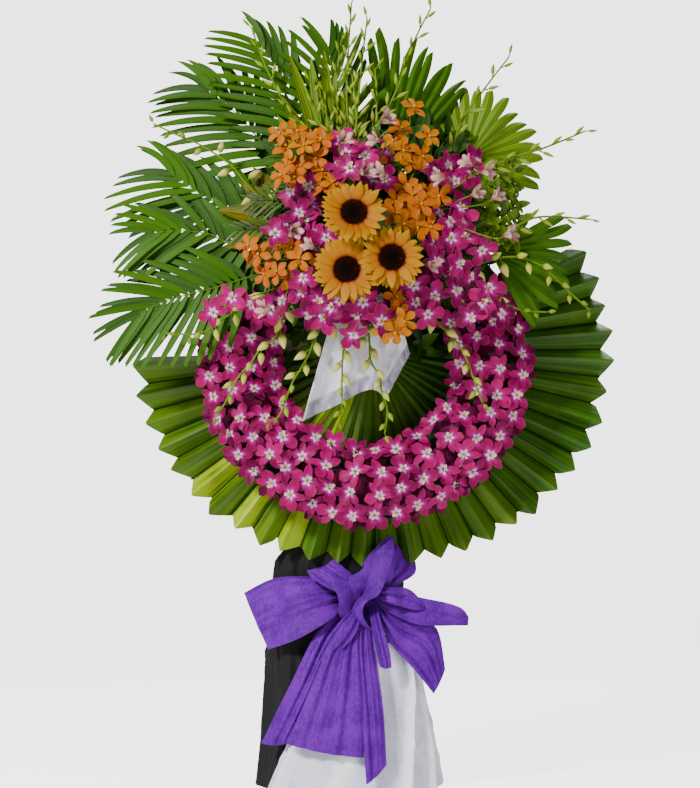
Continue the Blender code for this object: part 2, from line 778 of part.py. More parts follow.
def build_fans(face, leaf_finish):
    """Fan-palm leaves on stalks, pleated and split into points round the edge."""
    for number, (depth, spot, first, last, tips, reach_first, reach_last) in enumerate(FANS):
        base = on_face(*spot, depth)
        root = side_root((base.x, base.z), depth, FAN_STALK_RADIUS)
        halves = 2 * tips

        def pleat(across, along):
            fold = round(across * halves)
            angle = radians(first + (last - first) * across)
            reach = reach_first + (reach_last - reach_first) * across
            outer = reach if fold % 2 else FAN_SPLIT * reach
            spread = FAN_INNER + (outer - FAN_INNER) * along
            rise = FAN_RISE * spread * (-1.0 if fold % 2 else 1.0)
            return (base.x + spread * cos(angle), base.y + rise, base.z + spread * sin(angle))

        middle = radians((first + last) / 2.0)
        tip = base + Vector((cos(middle), 0.0, sin(middle))) * FAN_STALK_PAST_BASE
        stalk = tube([root, base, tip], FAN_STALK_RADIUS)
        meshes = [stalk, solid_sheet(sheet(halves, 2, pleat), LEAF_THICKNESS)]
        place(f"fan_leaf_{number + 1}", fuse("fan", meshes), leaf_finish, face)


def cone(radius_low, radius_high, low, high, sides):
    shape = bmesh.new()
    bmesh.ops.create_cone(
        shape, cap_ends=True, segments=sides, radius1=radius_low, radius2=radius_high, depth=high - low
    )
    bmesh.ops.translate(shape, verts=shape.verts, vec=(0, 0, (low + high) / 2.0))
    return mesh_of(shape)


def rod(start, end, radius):
    """A straight three-sided stalk between two points."""
    run = end - start
    return placed(cone(radius, radius, 0.0, run.length, 3), aim(start, run))


def disc_mesh():
    """A low dome with a dished middle, whose florets stand up in a chequered pattern."""
    shape = bmesh.new()
    bmesh.ops.create_uvsphere(shape, u_segments=FLORETS_ROUND, v_segments=6, radius=1.0)
    for vert in shape.verts:
        turn = atan2(vert.co.y, vert.co.x) / (2 * pi)
        odd = round(turn * FLORETS_ROUND + round(vert.co.z * 10)) % 2
        inward = 1.0 - hypot(vert.co.x, vert.co.y)
        height = GAP
        if vert.co.z > 0.01:
            height += DISC_HEIGHT * vert.co.z - DISC_RIM * inward**2 + FLORET_RELIEF * odd
        elif vert.co.z > -0.01:
            height += DISC_RIM
        vert.co = (DISC_RADIUS * vert.co.x, DISC_RADIUS * vert.co.y, height)
    return mesh_of(shape)


def build_sunflowers(face, ray_finish, disc_finish):
    """Each sunflower has two rings of rays on a flat receptacle, and a domed disc of raised florets."""
    for number, (spot, depth, lift, hole) in enumerate(SUNFLOWERS):
        centre = on_face(*spot, depth)
        flower_places.append((centre, RAY_ROOT + RAY_LENGTH, SUNFLOWER_HALF_DEPTH, "sunflower"))
        pose = aim(centre, (0.0, -1.0, lift))
        meshes = [placed(cone(RECEPTACLE_BASE, RECEPTACLE_RADIUS, -RECEPTACLE_DEPTH, 0.0, 12), pose)]
        for layer in range(2):
            behind = -RAY_BEHIND - RAY_THICKNESS * layer
            ray = blade(RAY_LENGTH * (1.0 - 0.06 * layer), RAY_WIDTH, RAY_THICKNESS)
            for step in range(RAYS_PER_LAYER):
                angle = 2 * pi * (step + 0.5 * layer) / RAYS_PER_LAYER
                lay = Matrix.Rotation(angle, 4, "Z") @ Matrix.Translation((RAY_ROOT, 0, behind))
                meshes.append(placed(ray, pose @ lay @ Matrix.Rotation(-RAY_CUP, 4, "Y")))
        root = front_root(hole, SUNFLOWER_STEM)
        collar = Vector((root.x, BLOCK_FRONT - COLLAR, root.z))
        neck = pose @ Vector((0, 0, -RECEPTACLE_DEPTH + 0.002))
        meshes.append(tube([root, collar, neck], SUNFLOWER_STEM))
        place(f"sunflower_{number + 1}", fuse("sunflower", meshes), ray_finish, face)
        disc = disc_mesh()
        disc.transform(pose)
        place(f"sunflower_disc_{number + 1}", disc, disc_finish, face)


def build_flower_cluster(face, name, hole, spots, radius, first_depth, finish):
    """A branched stem from one hole in the block, with a bloom at the end of each branch."""
    flower = bloom(radius)
    root = front_root(hole, MAIN_STEM)
    collar = Vector((root.x, BLOCK_FRONT - COLLAR, root.z))
    fork = Vector((root.x, BLOCK_FRONT - FORK, root.z))
    meshes = [tube([root, fork], MAIN_STEM)]
    for spot in spots:
        centre = free_depth(*spot, first_depth, radius, BLOOM_HALF_DEPTH, name)
        pose = facing_front(centre, BLOOM_TILT)
        meshes.append(rod(collar, pose @ Vector((0, 0, -0.001)), BRANCH_STEM))
        meshes.append(placed(flower, pose))
    place(name, fuse(name, meshes), finish, face)


def build_bud_sprays(face, bud_finish):
    """Green orchid bud stems: buds stand on both sides of a thin stem, smaller towards its tip."""
    for name, (base_spot, paths) in BUD_SPRAYS.items():
        base = on_face(*base_spot, STEM_SLAB)
        root = side_root((base.x, base.z), STEM_SLAB, BUD_MAIN_STEM)
        meshes = [tube([root, base], BUD_MAIN_STEM)]
        for number, path in enumerate(paths):
            forward = -BUD_STEM_SHIFT * number
            start = base + Vector((0.0, forward, 0.0))
            points = [start, *(on_face(*spot, STEM_SLAB + forward) for spot in path)]
            meshes.append(tube(points, BUD_STEM, tip_scale=0.6))
            total = sum((b - a).length for a, b in zip(points, points[1:]))
            count = max(5, round(total / BUD_STEP))
            for step in range(count):
                share = BUD_BARE + (0.97 - BUD_BARE) * step / (count - 1)
                point, tangent = along_path(points, share)
                side = 1 if step % 2 else -1
                angle = side * radians(BUD_ANGLE)
                direction = Vector((
                    tangent.x * cos(angle) - tangent.z * sin(angle),
                    -0.10 * side,
                    tangent.x * sin(angle) + tangent.z * cos(angle),
                ))
                size = 1.0 - BUD_SHRINK * step / (count - 1)
                pod = bud(BUD_LENGTH * size, BUD_RADIUS * size)
                meshes.append(placed(pod, aim(point, direction)))
        place(name, fuse(name, meshes), bud_finish, face)


def build_filler(face, name, group, finish):
    """Leaves that spread from one stalk in the block."""
    width, base_spot, tips = group
    base = on_face(*base_spot, FILLER_DEPTH)
    root = side_root((base.x, base.z), FILLER_DEPTH, FILLER_STALK)
    inside = base + (root - base).normalized() * FILLER_ROOT
    meshes = [tube([root, base], FILLER_STALK)]
    for tip_spot in tips:
        run = on_face(*tip_spot, FILLER_DEPTH) - base
        leaf = blade(run.length, width, FILLER_THICKNESS)
        meshes.append(placed(leaf, flat_blade_matrix(inside, (run.x, run.z), 0.1)))
    place(name, fuse(name, meshes), finish, face)


def between(value, keys):
    """Straight-line reading of a short list of (position, size) pairs."""
    for (a, low), (b, high) in zip(keys, keys[1:]):
        if value <= b:
            return low + (high - low) * max(0.0, value - a) / (b - a)
    return keys[-1][1]


def skirt_oval(height):
    """Middle, half sizes and squareness of the hanging cloth at this height."""
    left, right = between(height, SKIRT_LEFT), between(height, SKIRT_RIGHT)
    front, back = between(height, SKIRT_FRONT), between(height, SKIRT_BACK)
    power = 0.8 - 0.2 * min(1.0, height / 0.4)
    return (left + right) / 2.0, (front + back) / 2.0, (right - left) / 2.0, (back - front) / 2.0, power


def signed_power(value, power):
    return abs(value) ** power * (1.0 if value > 0 else -1.0)


def skirt_point(angle, height, outward=0.0):
    """A point of the hanging cloth: a squared oval that narrows upwards, with folds that fade upwards."""
    middle_x, middle_y, wide, deep, power = skirt_oval(height)
    outward += SKIRT_FOLD * (1.0 - height / SKIRT_FADE) * sin(SKIRT_FOLDS * angle + 1.0)
    return Vector((
        middle_x + (wide + outward) * signed_power(sin(angle), power),
        middle_y - (deep + outward) * signed_power(cos(angle), power),
        height,
    ))


def cloth_front(x, height):
    """How far forward the white cloth comes here, folds and all."""
    middle_x, middle_y, wide, deep, power = skirt_oval(height)
    outward = 0.025 * (1.0 - height / 0.55) + 0.002
    turn = min(0.97, abs(x - middle_x) / (wide + outward)) ** (1.0 / power)
    return middle_y - (deep + outward) * sqrt(1.0 - turn * turn) ** power


def collar_point(column, level):
    """A point of the cloth's gathered top, which wraps the foot of the head block."""
    clear = GAP + CLOTH / 2.0
    half = HEAD_HALF_WIDTH + clear
    near = HEAD_FRONT - clear
    far = HEAD_BACK + clear
    corners = ((-half, near), (half, near), (half, far), (-half, far))
    turns = (-4, 4, 8, 16, 20)
    column = column if column <= 20 else column - SKIRT_COLUMNS
    for side in range(4):
        if turns[side] <= column <= turns[side + 1]:
            share = (column - turns[side]) / (turns[side + 1] - turns[side])
            a, b = Vector(corners[side]), Vector(corners[(side + 1) % 4])
            flat = a + (b - a) * share
            return FACE @ Vector((flat.x, flat.y, level))


def build_black_skirt(cloth):
    """A sleeve of black cloth round the tripod, gathered round the head block and open at the floor."""
    rows = len(SKIRT_LEVELS) + len(COLLAR_LEVELS) - 1

    def spot(across, along):
        row = round(along * rows)
        column = round(across * SKIRT_COLUMNS) % SKIRT_COLUMNS
        if row < len(SKIRT_LEVELS):
            return skirt_point(2 * pi * column / SKIRT_COLUMNS, SKIRT_LEVELS[row])
        return collar_point(column, COLLAR_LEVELS[row - len(SKIRT_LEVELS)])

    thicken(place("black_skirt", sheet(SKIRT_COLUMNS, rows, spot, wrap=True), cloth), CLOTH)


def white_point(across, height):
    """A point of the white cloth, which fans from the bow down over the front of the black cloth."""
    outward = between(height, WHITE_STAND)
    centre, _, wide, _, power = skirt_oval(height)
    wide += outward
    left, right = between(height, WHITE_LEFT), between(height, WHITE_RIGHT)
    first = asin(max(-1.0, signed_power((left - centre) / wide, 1.0 / power)))
    last = asin(min(1.0, signed_power((right - centre) / wide, 1.0 / power)))
    angle = first + (last - first) * across
    fold = WHITE_FOLD * (1.0 - height / WHITE_LEVELS[-1]) * (1.0 + sin(WHITE_FOLDS * angle))
    return skirt_point(angle, height, outward + fold)


def build_white_skirt(cloth):
    rows = len(WHITE_LEVELS) - 1
    columns = WHITE_COLUMNS
    mesh = sheet(columns, rows, lambda across, along: white_point(across, WHITE_LEVELS[round(along * rows)]))
    thicken(place("white_skirt", mesh, cloth), CLOTH)



def build_bow(ribbon_finish):
    """A wide ribbon tied in a bow: a knot with loops and long tails that spread from it in folds."""
    front = white_point(0.5, KNOT[1] - 0.35 * KNOT_RADII[2])
    knot = Vector((KNOT[0], front.y - KNOT_RADII[1] - GAP - CLOTH / 2.0, KNOT[1]))
    shape = bmesh.new()
    bmesh.ops.create_uvsphere(shape, u_segments=8, v_segments=6, radius=1.0)
    for vert in shape.verts:
        vert.co = knot + Vector([size * part for size, part in zip(KNOT_RADII, vert.co)])
    meshes = [mesh_of(shape)]
    for number, (first, last, forward, folds) in enumerate(RIBBONS):
        start = Vector((first[0] * MM, knot.y + forward, first[1] * MM))
        end = Vector((last[0] * MM, knot.y + forward, last[1] * MM))
        side = (end - start).normalized()
        root = knot + Vector((0, -0.004 * (number % 4) + 0.004, 0))

        def spot(across, along):
            tight = root + side * (0.016 * (across - 0.5)) + (start - root).normalized() * 0.004
            wide = start + (end - start) * across
            point = tight + (wide - tight) * along
            point.y += RIBBON_FOLD * along * sin(folds * 2 * pi * across + number)
            point.y -= RIBBON_SAG * sin(pi * along)
            clear = RIBBON_CLEAR + 0.003 * number * along
            point.y = min(point.y, cloth_front(point.x, max(0.0, point.z)) - clear)
            return point

        meshes.append(solid_sheet(sheet(4, 3, spot), RIBBON_THICKNESS))
    place("purple_bow", fuse("bow", meshes), ribbon_finish)


def build_paper(face, paper_finish):
    """A sheet of stiff wrapping paper, its upper edge under the block, which hangs before the ring's hole."""
    columns = len(PAPER_HEM) - 1
    top = BLOCK_CENTRE[1] - BLOCK_HALF_HEIGHT - GAP - PAPER_THICKNESS / 2.0

    def spot(across, along):
        column = round(across * columns)
        pleat = PAPER_PLEAT if column % 2 else 0.0
        low = on_face(*PAPER_HEM[column], PAPER_DEPTH + pleat)
        high = Vector((PAPER_TOP_WIDTH * (across - 0.5), PAPER_DEPTH, top))
        return high + (low - high) * along

    thicken(place("paper_sheet", sheet(columns, 3, spot), paper_finish, face), PAPER_THICKNESS)


def main():
    clear_scene()
    face = bpy.data.objects.new("wreath_face", None)
    face.matrix_world = FACE
    collection.objects.link(face)
    bpy.context.view_layer.update()
    wood = material("pale_wood", (0.55, 0.38, 0.20))
    steel = material("steel_wire", (0.45, 0.45, 0.47), 0.4, 1.0)
    foam = material("floral_foam", (0.08, 0.22, 0.08), 0.9)
    board = material("plywood", (0.50, 0.36, 0.22), 0.7)
    fan_leaf = material("fan_palm_leaf", (0.07, 0.20, 0.02), 0.45)
    frond = material("feather_palm_leaf", (0.06, 0.22, 0.02), 0.5)
    pale_leaf = material("pale_leaf", (0.42, 0.48, 0.10), 0.5)
    fern = material("dark_leaf", (0.03, 0.12, 0.02), 0.6)
    magenta = material("magenta_petal", (0.60, 0.01, 0.25), 0.5)
    orange = material("orange_petal", (0.90, 0.25, 0.01), 0.5)
    yellow = material("sunflower_ray", (1.0, 0.40, 0.01), 0.5)
    brown = material("sunflower_disc", (0.05, 0.015, 0.005), 0.8)
    green_bud = material("orchid_bud", (0.40, 0.55, 0.12), 0.5)
    black = material("black_cloth", (0.02, 0.018, 0.02), 0.9)
    white = material("white_cloth", (0.75, 0.75, 0.82), 0.9)
    purple = material("purple_ribbon", (0.13, 0.02, 0.45), 0.7)
    paper = material("white_paper", (0.80, 0.78, 0.84), 0.6)

    build_tripod(face, wood)
    build_hoop(steel)
    build_board_and_ring(face, foam, board)
    build_rosette(face, fan_leaf)
    build_ring_orchids(face, magenta)
    build_fronds(face, frond)
    build_fans(face, fan_leaf)
    build_sunflowers(face, yellow, brown)
    for name, (hole, spots) in MOKARAS.items():
        cluster = f"orange_orchids_{name}"
        build_flower_cluster(face, cluster, hole, spots, MOKARA_RADIUS, MOKARA_DEPTH, orange)
    for name, (hole, spots) in DENDROBIUMS.items():
        cluster = f"magenta_orchids_{name}"
        build_flower_cluster(face, cluster, hole, spots, DENDROBIUM_RADIUS, DENDROBIUM_DEPTH, magenta)
    build_bud_sprays(face, green_bud)
    build_filler(face, "pale_leaves_top", PALE_LEAVES_TOP, pale_leaf)
    build_filler(face, "broad_leaf_left", BROAD_LEAF_LEFT, fern)
    build_filler(face, "broad_leaf_right", BROAD_LEAF_RIGHT, pale_leaf)
    build_block(face, foam)
    build_black_skirt(black)
    build_white_skirt(white)
    build_bow(purple)
    build_paper(face, paper)


main()
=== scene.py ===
"""Visual model of the funeral flower stand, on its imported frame. Metres, +Z up, the front faces -Y."""

import json
import random
from math import asin, cos, exp, log, pi, radians, sin, sqrt, tau

import bpy
from mathutils import Matrix, Vector, noise

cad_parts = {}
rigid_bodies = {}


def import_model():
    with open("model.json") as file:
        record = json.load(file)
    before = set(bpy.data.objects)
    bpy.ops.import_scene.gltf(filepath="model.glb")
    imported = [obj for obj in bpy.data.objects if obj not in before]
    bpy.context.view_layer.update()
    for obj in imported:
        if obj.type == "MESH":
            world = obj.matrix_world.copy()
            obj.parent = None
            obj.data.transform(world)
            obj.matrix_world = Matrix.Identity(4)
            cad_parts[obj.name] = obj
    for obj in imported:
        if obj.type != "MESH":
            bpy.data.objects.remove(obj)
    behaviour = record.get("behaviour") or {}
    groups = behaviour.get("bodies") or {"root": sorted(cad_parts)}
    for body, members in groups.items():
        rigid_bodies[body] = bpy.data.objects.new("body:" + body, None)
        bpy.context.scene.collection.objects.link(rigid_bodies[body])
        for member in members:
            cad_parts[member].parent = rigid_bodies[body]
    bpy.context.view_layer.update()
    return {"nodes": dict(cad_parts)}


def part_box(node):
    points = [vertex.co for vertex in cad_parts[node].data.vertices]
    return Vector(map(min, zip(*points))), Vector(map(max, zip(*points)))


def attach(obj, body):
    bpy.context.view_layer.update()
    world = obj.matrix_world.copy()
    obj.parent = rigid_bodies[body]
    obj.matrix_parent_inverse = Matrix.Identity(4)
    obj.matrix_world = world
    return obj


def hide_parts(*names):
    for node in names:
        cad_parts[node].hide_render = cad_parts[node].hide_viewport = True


for old in list(bpy.data.objects):
    bpy.data.objects.remove(old)
scene = bpy.context.scene

# The camera stands six metres in front of the stand, at half its height, with a long lens.
lens = bpy.data.cameras.new("camera")
lens.sensor_width = 36.0
lens.lens = 130.5
camera = bpy.data.objects.new("camera", lens)
camera.location = (-0.008, -6.0, 0.823)
camera.rotation_euler = (radians(90), 0, 0)
scene.collection.objects.link(camera)
scene.camera = camera
bpy.context.view_layer.update()

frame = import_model()

# The wreath's face leans back on the tripod. Its own axes are x right, y back and z up, and the
# flowers are laid out in them from here on. The backing board shows where the face stands.
board_low, board_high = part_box("backing_board")
face = (
    Matrix.Translation((board_low + board_high) / 2)
    @ Matrix.Rotation(radians(-8), 4, "X")
    @ Matrix.Translation((0, -0.011, 0))
)
to_face = face.inverted()


def seen_at(x_mm, z_mm, depth):
    """A point of the face at this depth that the camera sees at this place on the plane y = 0."""
    eye = to_face @ camera.location
    through = to_face @ Vector((x_mm / 1000, 0, z_mm / 1000))
    return eye + (through - eye) * ((depth - eye.y) / (through.y - eye.y))


# Studio: a pale floor that fades into a white background, a large soft key light from the upper left,
# a wide fill from the right and a light from behind. The helpers build node trees: a term is what a
# node gives, and sums and products of terms are nodes too.
class Term:
    """An output of a node."""

    def __init__(self, node, output=0):
        self.node = node
        self.tree = node.id_data
        self.socket = node.outputs[output]

    def __getitem__(self, output):
        return Term(self.node, output)

    def __abs__(self):
        return maths("ABSOLUTE", self)


def feed(value, socket):
    """Links a term to an input, or sets the input to a plain value."""
    if isinstance(value, Term):
        value.tree.links.new(value.socket, socket)
    else:
        socket.default_value = value


def add(tree, kind, values=None, **settings):
    """Adds a node to a tree, or to the tree of a term, with these terms and values on its inputs."""
    node = getattr(tree, "tree", tree).nodes.new(kind)
    for label, value in settings.items():
        setattr(node, label, value)
    for socket, value in (values or {}).items():
        feed(value, node.inputs[socket])
    return Term(node)


def combine(kind, *values, **settings):
    """Adds a node whose first inputs are these values. One of them at least is a term."""
    tree = next(value.tree for value in values if isinstance(value, Term))
    return add(tree, kind, dict(enumerate(values)), **settings)


def maths(operation, *values):
    return combine("ShaderNodeMath", *values, operation=operation)


def operator(operation):
    """What Python calls for a sign between two terms, and for one between a number and a term."""
    return (
        lambda first, second: maths(operation, first, second),
        lambda second, first: maths(operation, first, second),
    )


Term.__add__, Term.__radd__ = operator("ADD")
Term.__sub__, Term.__rsub__ = operator("SUBTRACT")
Term.__mul__, Term.__rmul__ = operator("MULTIPLY")
Term.__truediv__, Term.__rtruediv__ = operator("DIVIDE")
Term.__pow__, Term.__rpow__ = operator("POWER")


def new_material(name, **values):
    """A material, its node tree and its shader, with these values on the shader's sockets."""
    made = bpy.data.materials.new(name)
    made.use_nodes = True
    shader = made.node_tree.nodes["Principled BSDF"]
    for label, value in values.items():
        shader.inputs[label.replace("_", " ")].default_value = value
    return made, made.node_tree, shader


def ramp(value, low, high):
    """0 below low, 1 above high, and smooth between them."""
    return combine("ShaderNodeMapRange", value, low, high, 0.0, 1.0, interpolation_type="SMOOTHSTEP")


def on_object(tree):
    return add(tree, "ShaderNodeTexCoord")["Object"]


def on_sheet(tree):
    return add(tree, "ShaderNodeTexCoord")["UV"]


floor_mesh = bpy.data.meshes.new("studio_floor")
floor_mesh.from_pydata(
    [(-7, -7, -0.0005), (7, -7, -0.0005), (7, 7, -0.0005), (-7, 7, -0.0005)], [], [(0, 1, 2, 3)]
)
floor = bpy.data.objects.new("studio_floor", floor_mesh)
scene.collection.objects.link(floor)
pale, tree, shader = new_material("studio_white", Roughness=0.9)
shader.inputs["Base Color"].default_value = (0.86, 0.86, 0.86, 1)
shader.inputs["Emission Color"].default_value = (1.0, 1.0, 1.0, 1)
seen = add(tree, "ShaderNodeLightPath")["Is Camera Ray"]
feed(seen * 2.2 + 0.5, shader.inputs["Emission Strength"])
away = combine("ShaderNodeVectorMath", on_object(tree), operation="LENGTH")
feed(ramp(away["Value"], 6.5, 1.2), shader.inputs["Alpha"])
floor_mesh.materials.append(pale)

for label, place, aim, size, energy in (
    ("key", (-2.6, -3.0, 3.4), (0, 0, 0.9), 0.9, 330),
    ("fill", (3.0, -4.2, 0.9), (0, 0, 0.4), 2.4, 70),
    ("back", (0.6, 1.9, 3.4), (0, 0, 1.0), 1.6, 80),
):
    lamp = bpy.data.lights.new(label, "AREA")
    lamp.size = size
    lamp.energy = energy
    light = bpy.data.objects.new(label, lamp)
    light.location = place
    light.rotation_euler = (Vector(aim) - Vector(place)).to_track_quat("-Z", "Y").to_euler()
    scene.collection.objects.link(light)
world = bpy.data.worlds.new("studio")
world.use_nodes = True
sky = world.node_tree.nodes["Background"]
sky.inputs["Color"].default_value = (1.0, 1.0, 1.0, 1)
seen = add(world.node_tree, "ShaderNodeLightPath")["Is Camera Ray"]
feed(seen * 3.1 + 0.28, sky.inputs["Strength"])
scene.world = world


# Tripod, head block, hoop, backing board and foam keep the CAD's shape. The poles and the head are
# sanded wood, the board is plywood, the hoop is drawn wire, and the foam is fine wet floral foam.
def opaque(colour):
    return colour if isinstance(colour, Term) else (*colour, 1)


def blend(share, first, second):
    """A colour between two colours."""
    values = {0: share, 6: opaque(first), 7: opaque(second)}
    return add(share, "ShaderNodeMix", values, data_type="RGBA")[2]


def paint(shader, colour, *layers):
    """Sets the colour. Each layer is a share and the colour that covers the ones before it so far."""
    for share, cover in layers:
        colour = blend(share, colour, cover)
    feed(opaque(colour), shader.inputs["Base Color"])


def bump(shader, height, strength, distance=0.001):
    made = add(height, "ShaderNodeBump", {"Height": height, "Strength": strength, "Distance": distance})
    feed(made, shader.inputs["Normal"])


def grain(coordinates, scale, stretch, detail=4.0):
    """Noise on coordinates that are stretched first."""
    stretched = add(coordinates, "ShaderNodeMapping", {"Vector": coordinates, "Scale": stretch})
    noisy = {"Vector": stretched, "Scale": scale, "Detail": detail}
    return add(coordinates, "ShaderNodeTexNoise", noisy)["Fac"]


wood, tree, shader = new_material("sanded_wood", Roughness=0.62)
position = on_object(tree)
lines = grain(position, 60, (6.0, 6.0, 0.35))
paint(shader, (0.62, 0.43, 0.23), (lines, (0.4, 0.24, 0.11)))
bump(shader, lines, 0.25)
plywood, tree, shader = new_material("plywood_face", Roughness=0.7)
position = on_object(tree)
lines = grain(position, 22, (0.5, 6.0, 6.0), 6.0)
paint(shader, (0.58, 0.42, 0.25), (lines, (0.38, 0.25, 0.13)))
bump(shader, lines, 0.2)
wire, tree, shader = new_material("drawn_wire", Metallic=1.0, Roughness=0.34)
paint(shader, (0.52, 0.52, 0.54))
foam, tree, shader = new_material("wet_foam", Roughness=0.95)
position = on_object(tree)
crumbs = grain(position, 420, (1.0, 1.0, 1.0), 3.0)
paint(shader, (0.006, 0.028, 0.003), (crumbs, (0.022, 0.07, 0.008)))
bump(shader, crumbs, 0.6)
for node, finish, slot in (
    ("tripod_leg_left", wood, "pale_wood"),
    ("tripod_leg_right", wood, "pale_wood"),
    ("tripod_leg_rear", wood, "pale_wood"),
    ("tripod_head", wood, "pale_wood"),
    ("tripod_hoop", wire, "steel_wire"),
    ("backing_board", plywood, "plywood"),
    ("wreath_foam_ring", foam, "floral_foam"),
    ("foam_block", foam, "floral_foam"),
):
    kept = frame["nodes"][node]
    kept.data.materials.clear()
    kept.data.materials.append(finish)


# Rosette: six fan-palm leaves, folded in pleats, trimmed to a zigzag and fixed side by side to the
# backing board. Glossy green with fine ribs along the pleats, yellower on the left and below. The
# valleys between the pleats are painted shade, and the paler rib streaks are partly painted sheen.
def new_tree(name, inputs):
    """An empty Geometry Nodes group with these named inputs, and the terms that give them."""
    tree = bpy.data.node_groups.new(name, "GeometryNodeTree")
    kinds = {int: "Int", float: "Float", tuple: "Vector"}
    inputs = {"Geometry": "Geometry", **inputs, "Material": "Material"}
    for label, value in inputs.items():
        kind = kinds.get(type(value), value)
        socket = tree.interface.new_socket(label, in_out="INPUT", socket_type=f"NodeSocket{kind}")
        if kind != value:
            socket.default_value = value
    tree.interface.new_socket("Geometry", in_out="OUTPUT", socket_type="NodeSocketGeometry")
    source = tree.nodes.new("NodeGroupInput")
    return tree, {label: Term(source, label) for label in inputs}


def together(*parts):
    """These geometries as one."""
    joined = add(parts[0], "GeometryNodeJoinGeometry")
    for part in parts:
        feed(part, joined.node.inputs[0])
    return joined


def close_tree(group, *parts):
    """Joins the parts, realizes the instances, sets the material and feeds the group's output."""
    real = combine("GeometryNodeRealizeInstances", together(*parts) if len(parts) > 1 else parts[0])
    smooth = combine("GeometryNodeSetShadeSmooth", real)
    painted = add(smooth, "GeometryNodeSetMaterial", {"Geometry": smooth, "Material": group["Material"]})
    feed(painted, painted.tree.nodes.new("NodeGroupOutput").inputs[0])


def store(geometry, label, value, kind="FLOAT", domain="POINT"):
    """Stores a named attribute on the geometry."""
    values = {"Geometry": geometry, "Name": label, "Value": value}
    return add(geometry, "GeometryNodeStoreNamedAttribute", values, data_type=kind, domain=domain)


def vector(*values):
    return combine("ShaderNodeCombineXYZ", *values)


def moved(geometry, position):
    return add(geometry, "GeometryNodeSetPosition", {"Geometry": geometry, "Position": position})


def draw(tree, low, high, seed, item=None):
    """A random number for each item, or for each point."""
    values = {2: low, 3: high, 8: seed}
    if item:
        values[7] = item
    return add(tree, "FunctionNodeRandomValue", values, data_type="FLOAT")[1]


def plain(name, holder, matrix=None, thickness=0.0):
    """Keeps what an object's modifiers make as a plain mesh object at the origin, with a thickness."""
    if thickness:
        solid = holder.modifiers.new("thickness", "SOLIDIFY")
        solid.thickness = thickness
        solid.offset = 0.0
    graph = bpy.context.evaluated_depsgraph_get()
    mesh = bpy.data.meshes.new_from_object(holder.evaluated_get(graph), depsgraph=graph)
    bpy.data.objects.remove(holder)
    if matrix:
        mesh.transform(matrix)
    mesh.set_sharp_from_angle(angle=radians(64))
    mesh.name = name
    piece = bpy.data.objects.new(name, mesh)
    scene.collection.objects.link(piece)
    return piece


def grow(name, source, tree, values, matrix=face, thickness=0.0):
    """Runs a node group with these input values on a mesh or curve and keeps the result."""
    holder = bpy.data.objects.new(f"{name}_source", source)
    scene.collection.objects.link(holder)
    modifier = holder.modifiers.new(name, "NODES")
    modifier.node_group = tree
    for item in tree.interface.items_tree:
        if item.in_out == "INPUT" and item.name in values:
            modifier[item.identifier] = values[item.name]
    return plain(name, holder, matrix, thickness)


def hand_in(piece, slot, *nodes):
    """The piece rides on the root body and stands for these CAD nodes; the slot is not used."""
    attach(piece, "root")
    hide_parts(*nodes)
    return piece


def unit_sheet(tree, columns, rows):
    """A flat square with sides of 1 and this many points each way, with its layout stored."""
    values = {"Size X": 1, "Size Y": 1, "Vertices X": columns, "Vertices Y": rows}
    grid = add(tree, "GeometryNodeMeshGrid", values)
    return store(grid[0], "UVMap", grid["UV Map"], "FLOAT2", "CORNER")


def where(tree):
    """The x, y and z of each point in a tree."""
    return combine("ShaderNodeSeparateXYZ", add(tree, "GeometryNodeInputPosition"))


def attribute(tree, label):
    """A stored attribute, in a material."""
    return add(tree, "ShaderNodeAttribute", attribute_name=label)["Fac"]


pleated, group = new_tree("pleated leaf", {
    "Pleats": 5,
    "Start": 0.0,
    "Sweep": 0.5,
    "Inner": 0.05,
    "Wide": 0.517,
    "Low": 0.468,
    "Notch": 0.028,
    "Rise": 0.030,
    "Trim": 0.010,
    "Least crest": 0.3,
    "Most crest": 0.6,
    "Tone": 0.0,
    "Seed": 1,
})
laid = unit_sheet(pleated, group["Pleats"] * 12 + 1, 25)
spot = where(pleated)
across = spot[0] + 0.5
along = spot[1] + 0.5
fold = across * group["Pleats"]
pleat = maths("FLOOR", fold)
chance = draw(pleated, 0.0, 1.0, group["Seed"], pleat)
crest = draw(pleated, group["Least crest"], group["Most crest"], group["Seed"], pleat + 50)
inside = maths("FRACT", fold)
rising = inside / crest
falling = (1 - inside) / (1 - crest)
ridge = maths("MINIMUM", rising, falling)
angle = across * group["Sweep"] + group["Start"]
wide = group["Wide"] * maths("COSINE", angle)
deep = group["Low"] * maths("SINE", angle)
reach = maths("SQRT", abs(wide) ** 2 + abs(deep) ** 2)
valley = 1 - ridge
reach = reach - group["Notch"] * valley
reach = reach - group["Trim"] * chance
run = (reach - group["Inner"]) * along
spread = group["Inner"] + run
seam = (across * -0.0004 + 0.0002) / spread
angle = angle + seam
ripple = add(
    pleated,
    "ShaderNodeTexNoise",
    {"Vector": vector(fold, along * 1.6, group["Seed"]), "Scale": 0.8, "Detail": 1.0},
)["Fac"]
height = ridge * -2 + 1
height = height * (group["Rise"] * spread)
wave = (ripple - 0.5) * (spread * 0.03)
height = height + wave
x = spread * maths("COSINE", angle) + 0.015
z = spread * maths("SINE", angle) + 0.034
tone = draw(pleated, 0.0, 1.4, group["Seed"], pleat) * group["Tone"]
toned = store(laid, "tone", tone)
# The crest measure is kept for the material, which paints shade into the valleys with it.
toned = store(toned, "ridge", ridge)
close_tree(group, moved(toned, vector(x, height, z)))

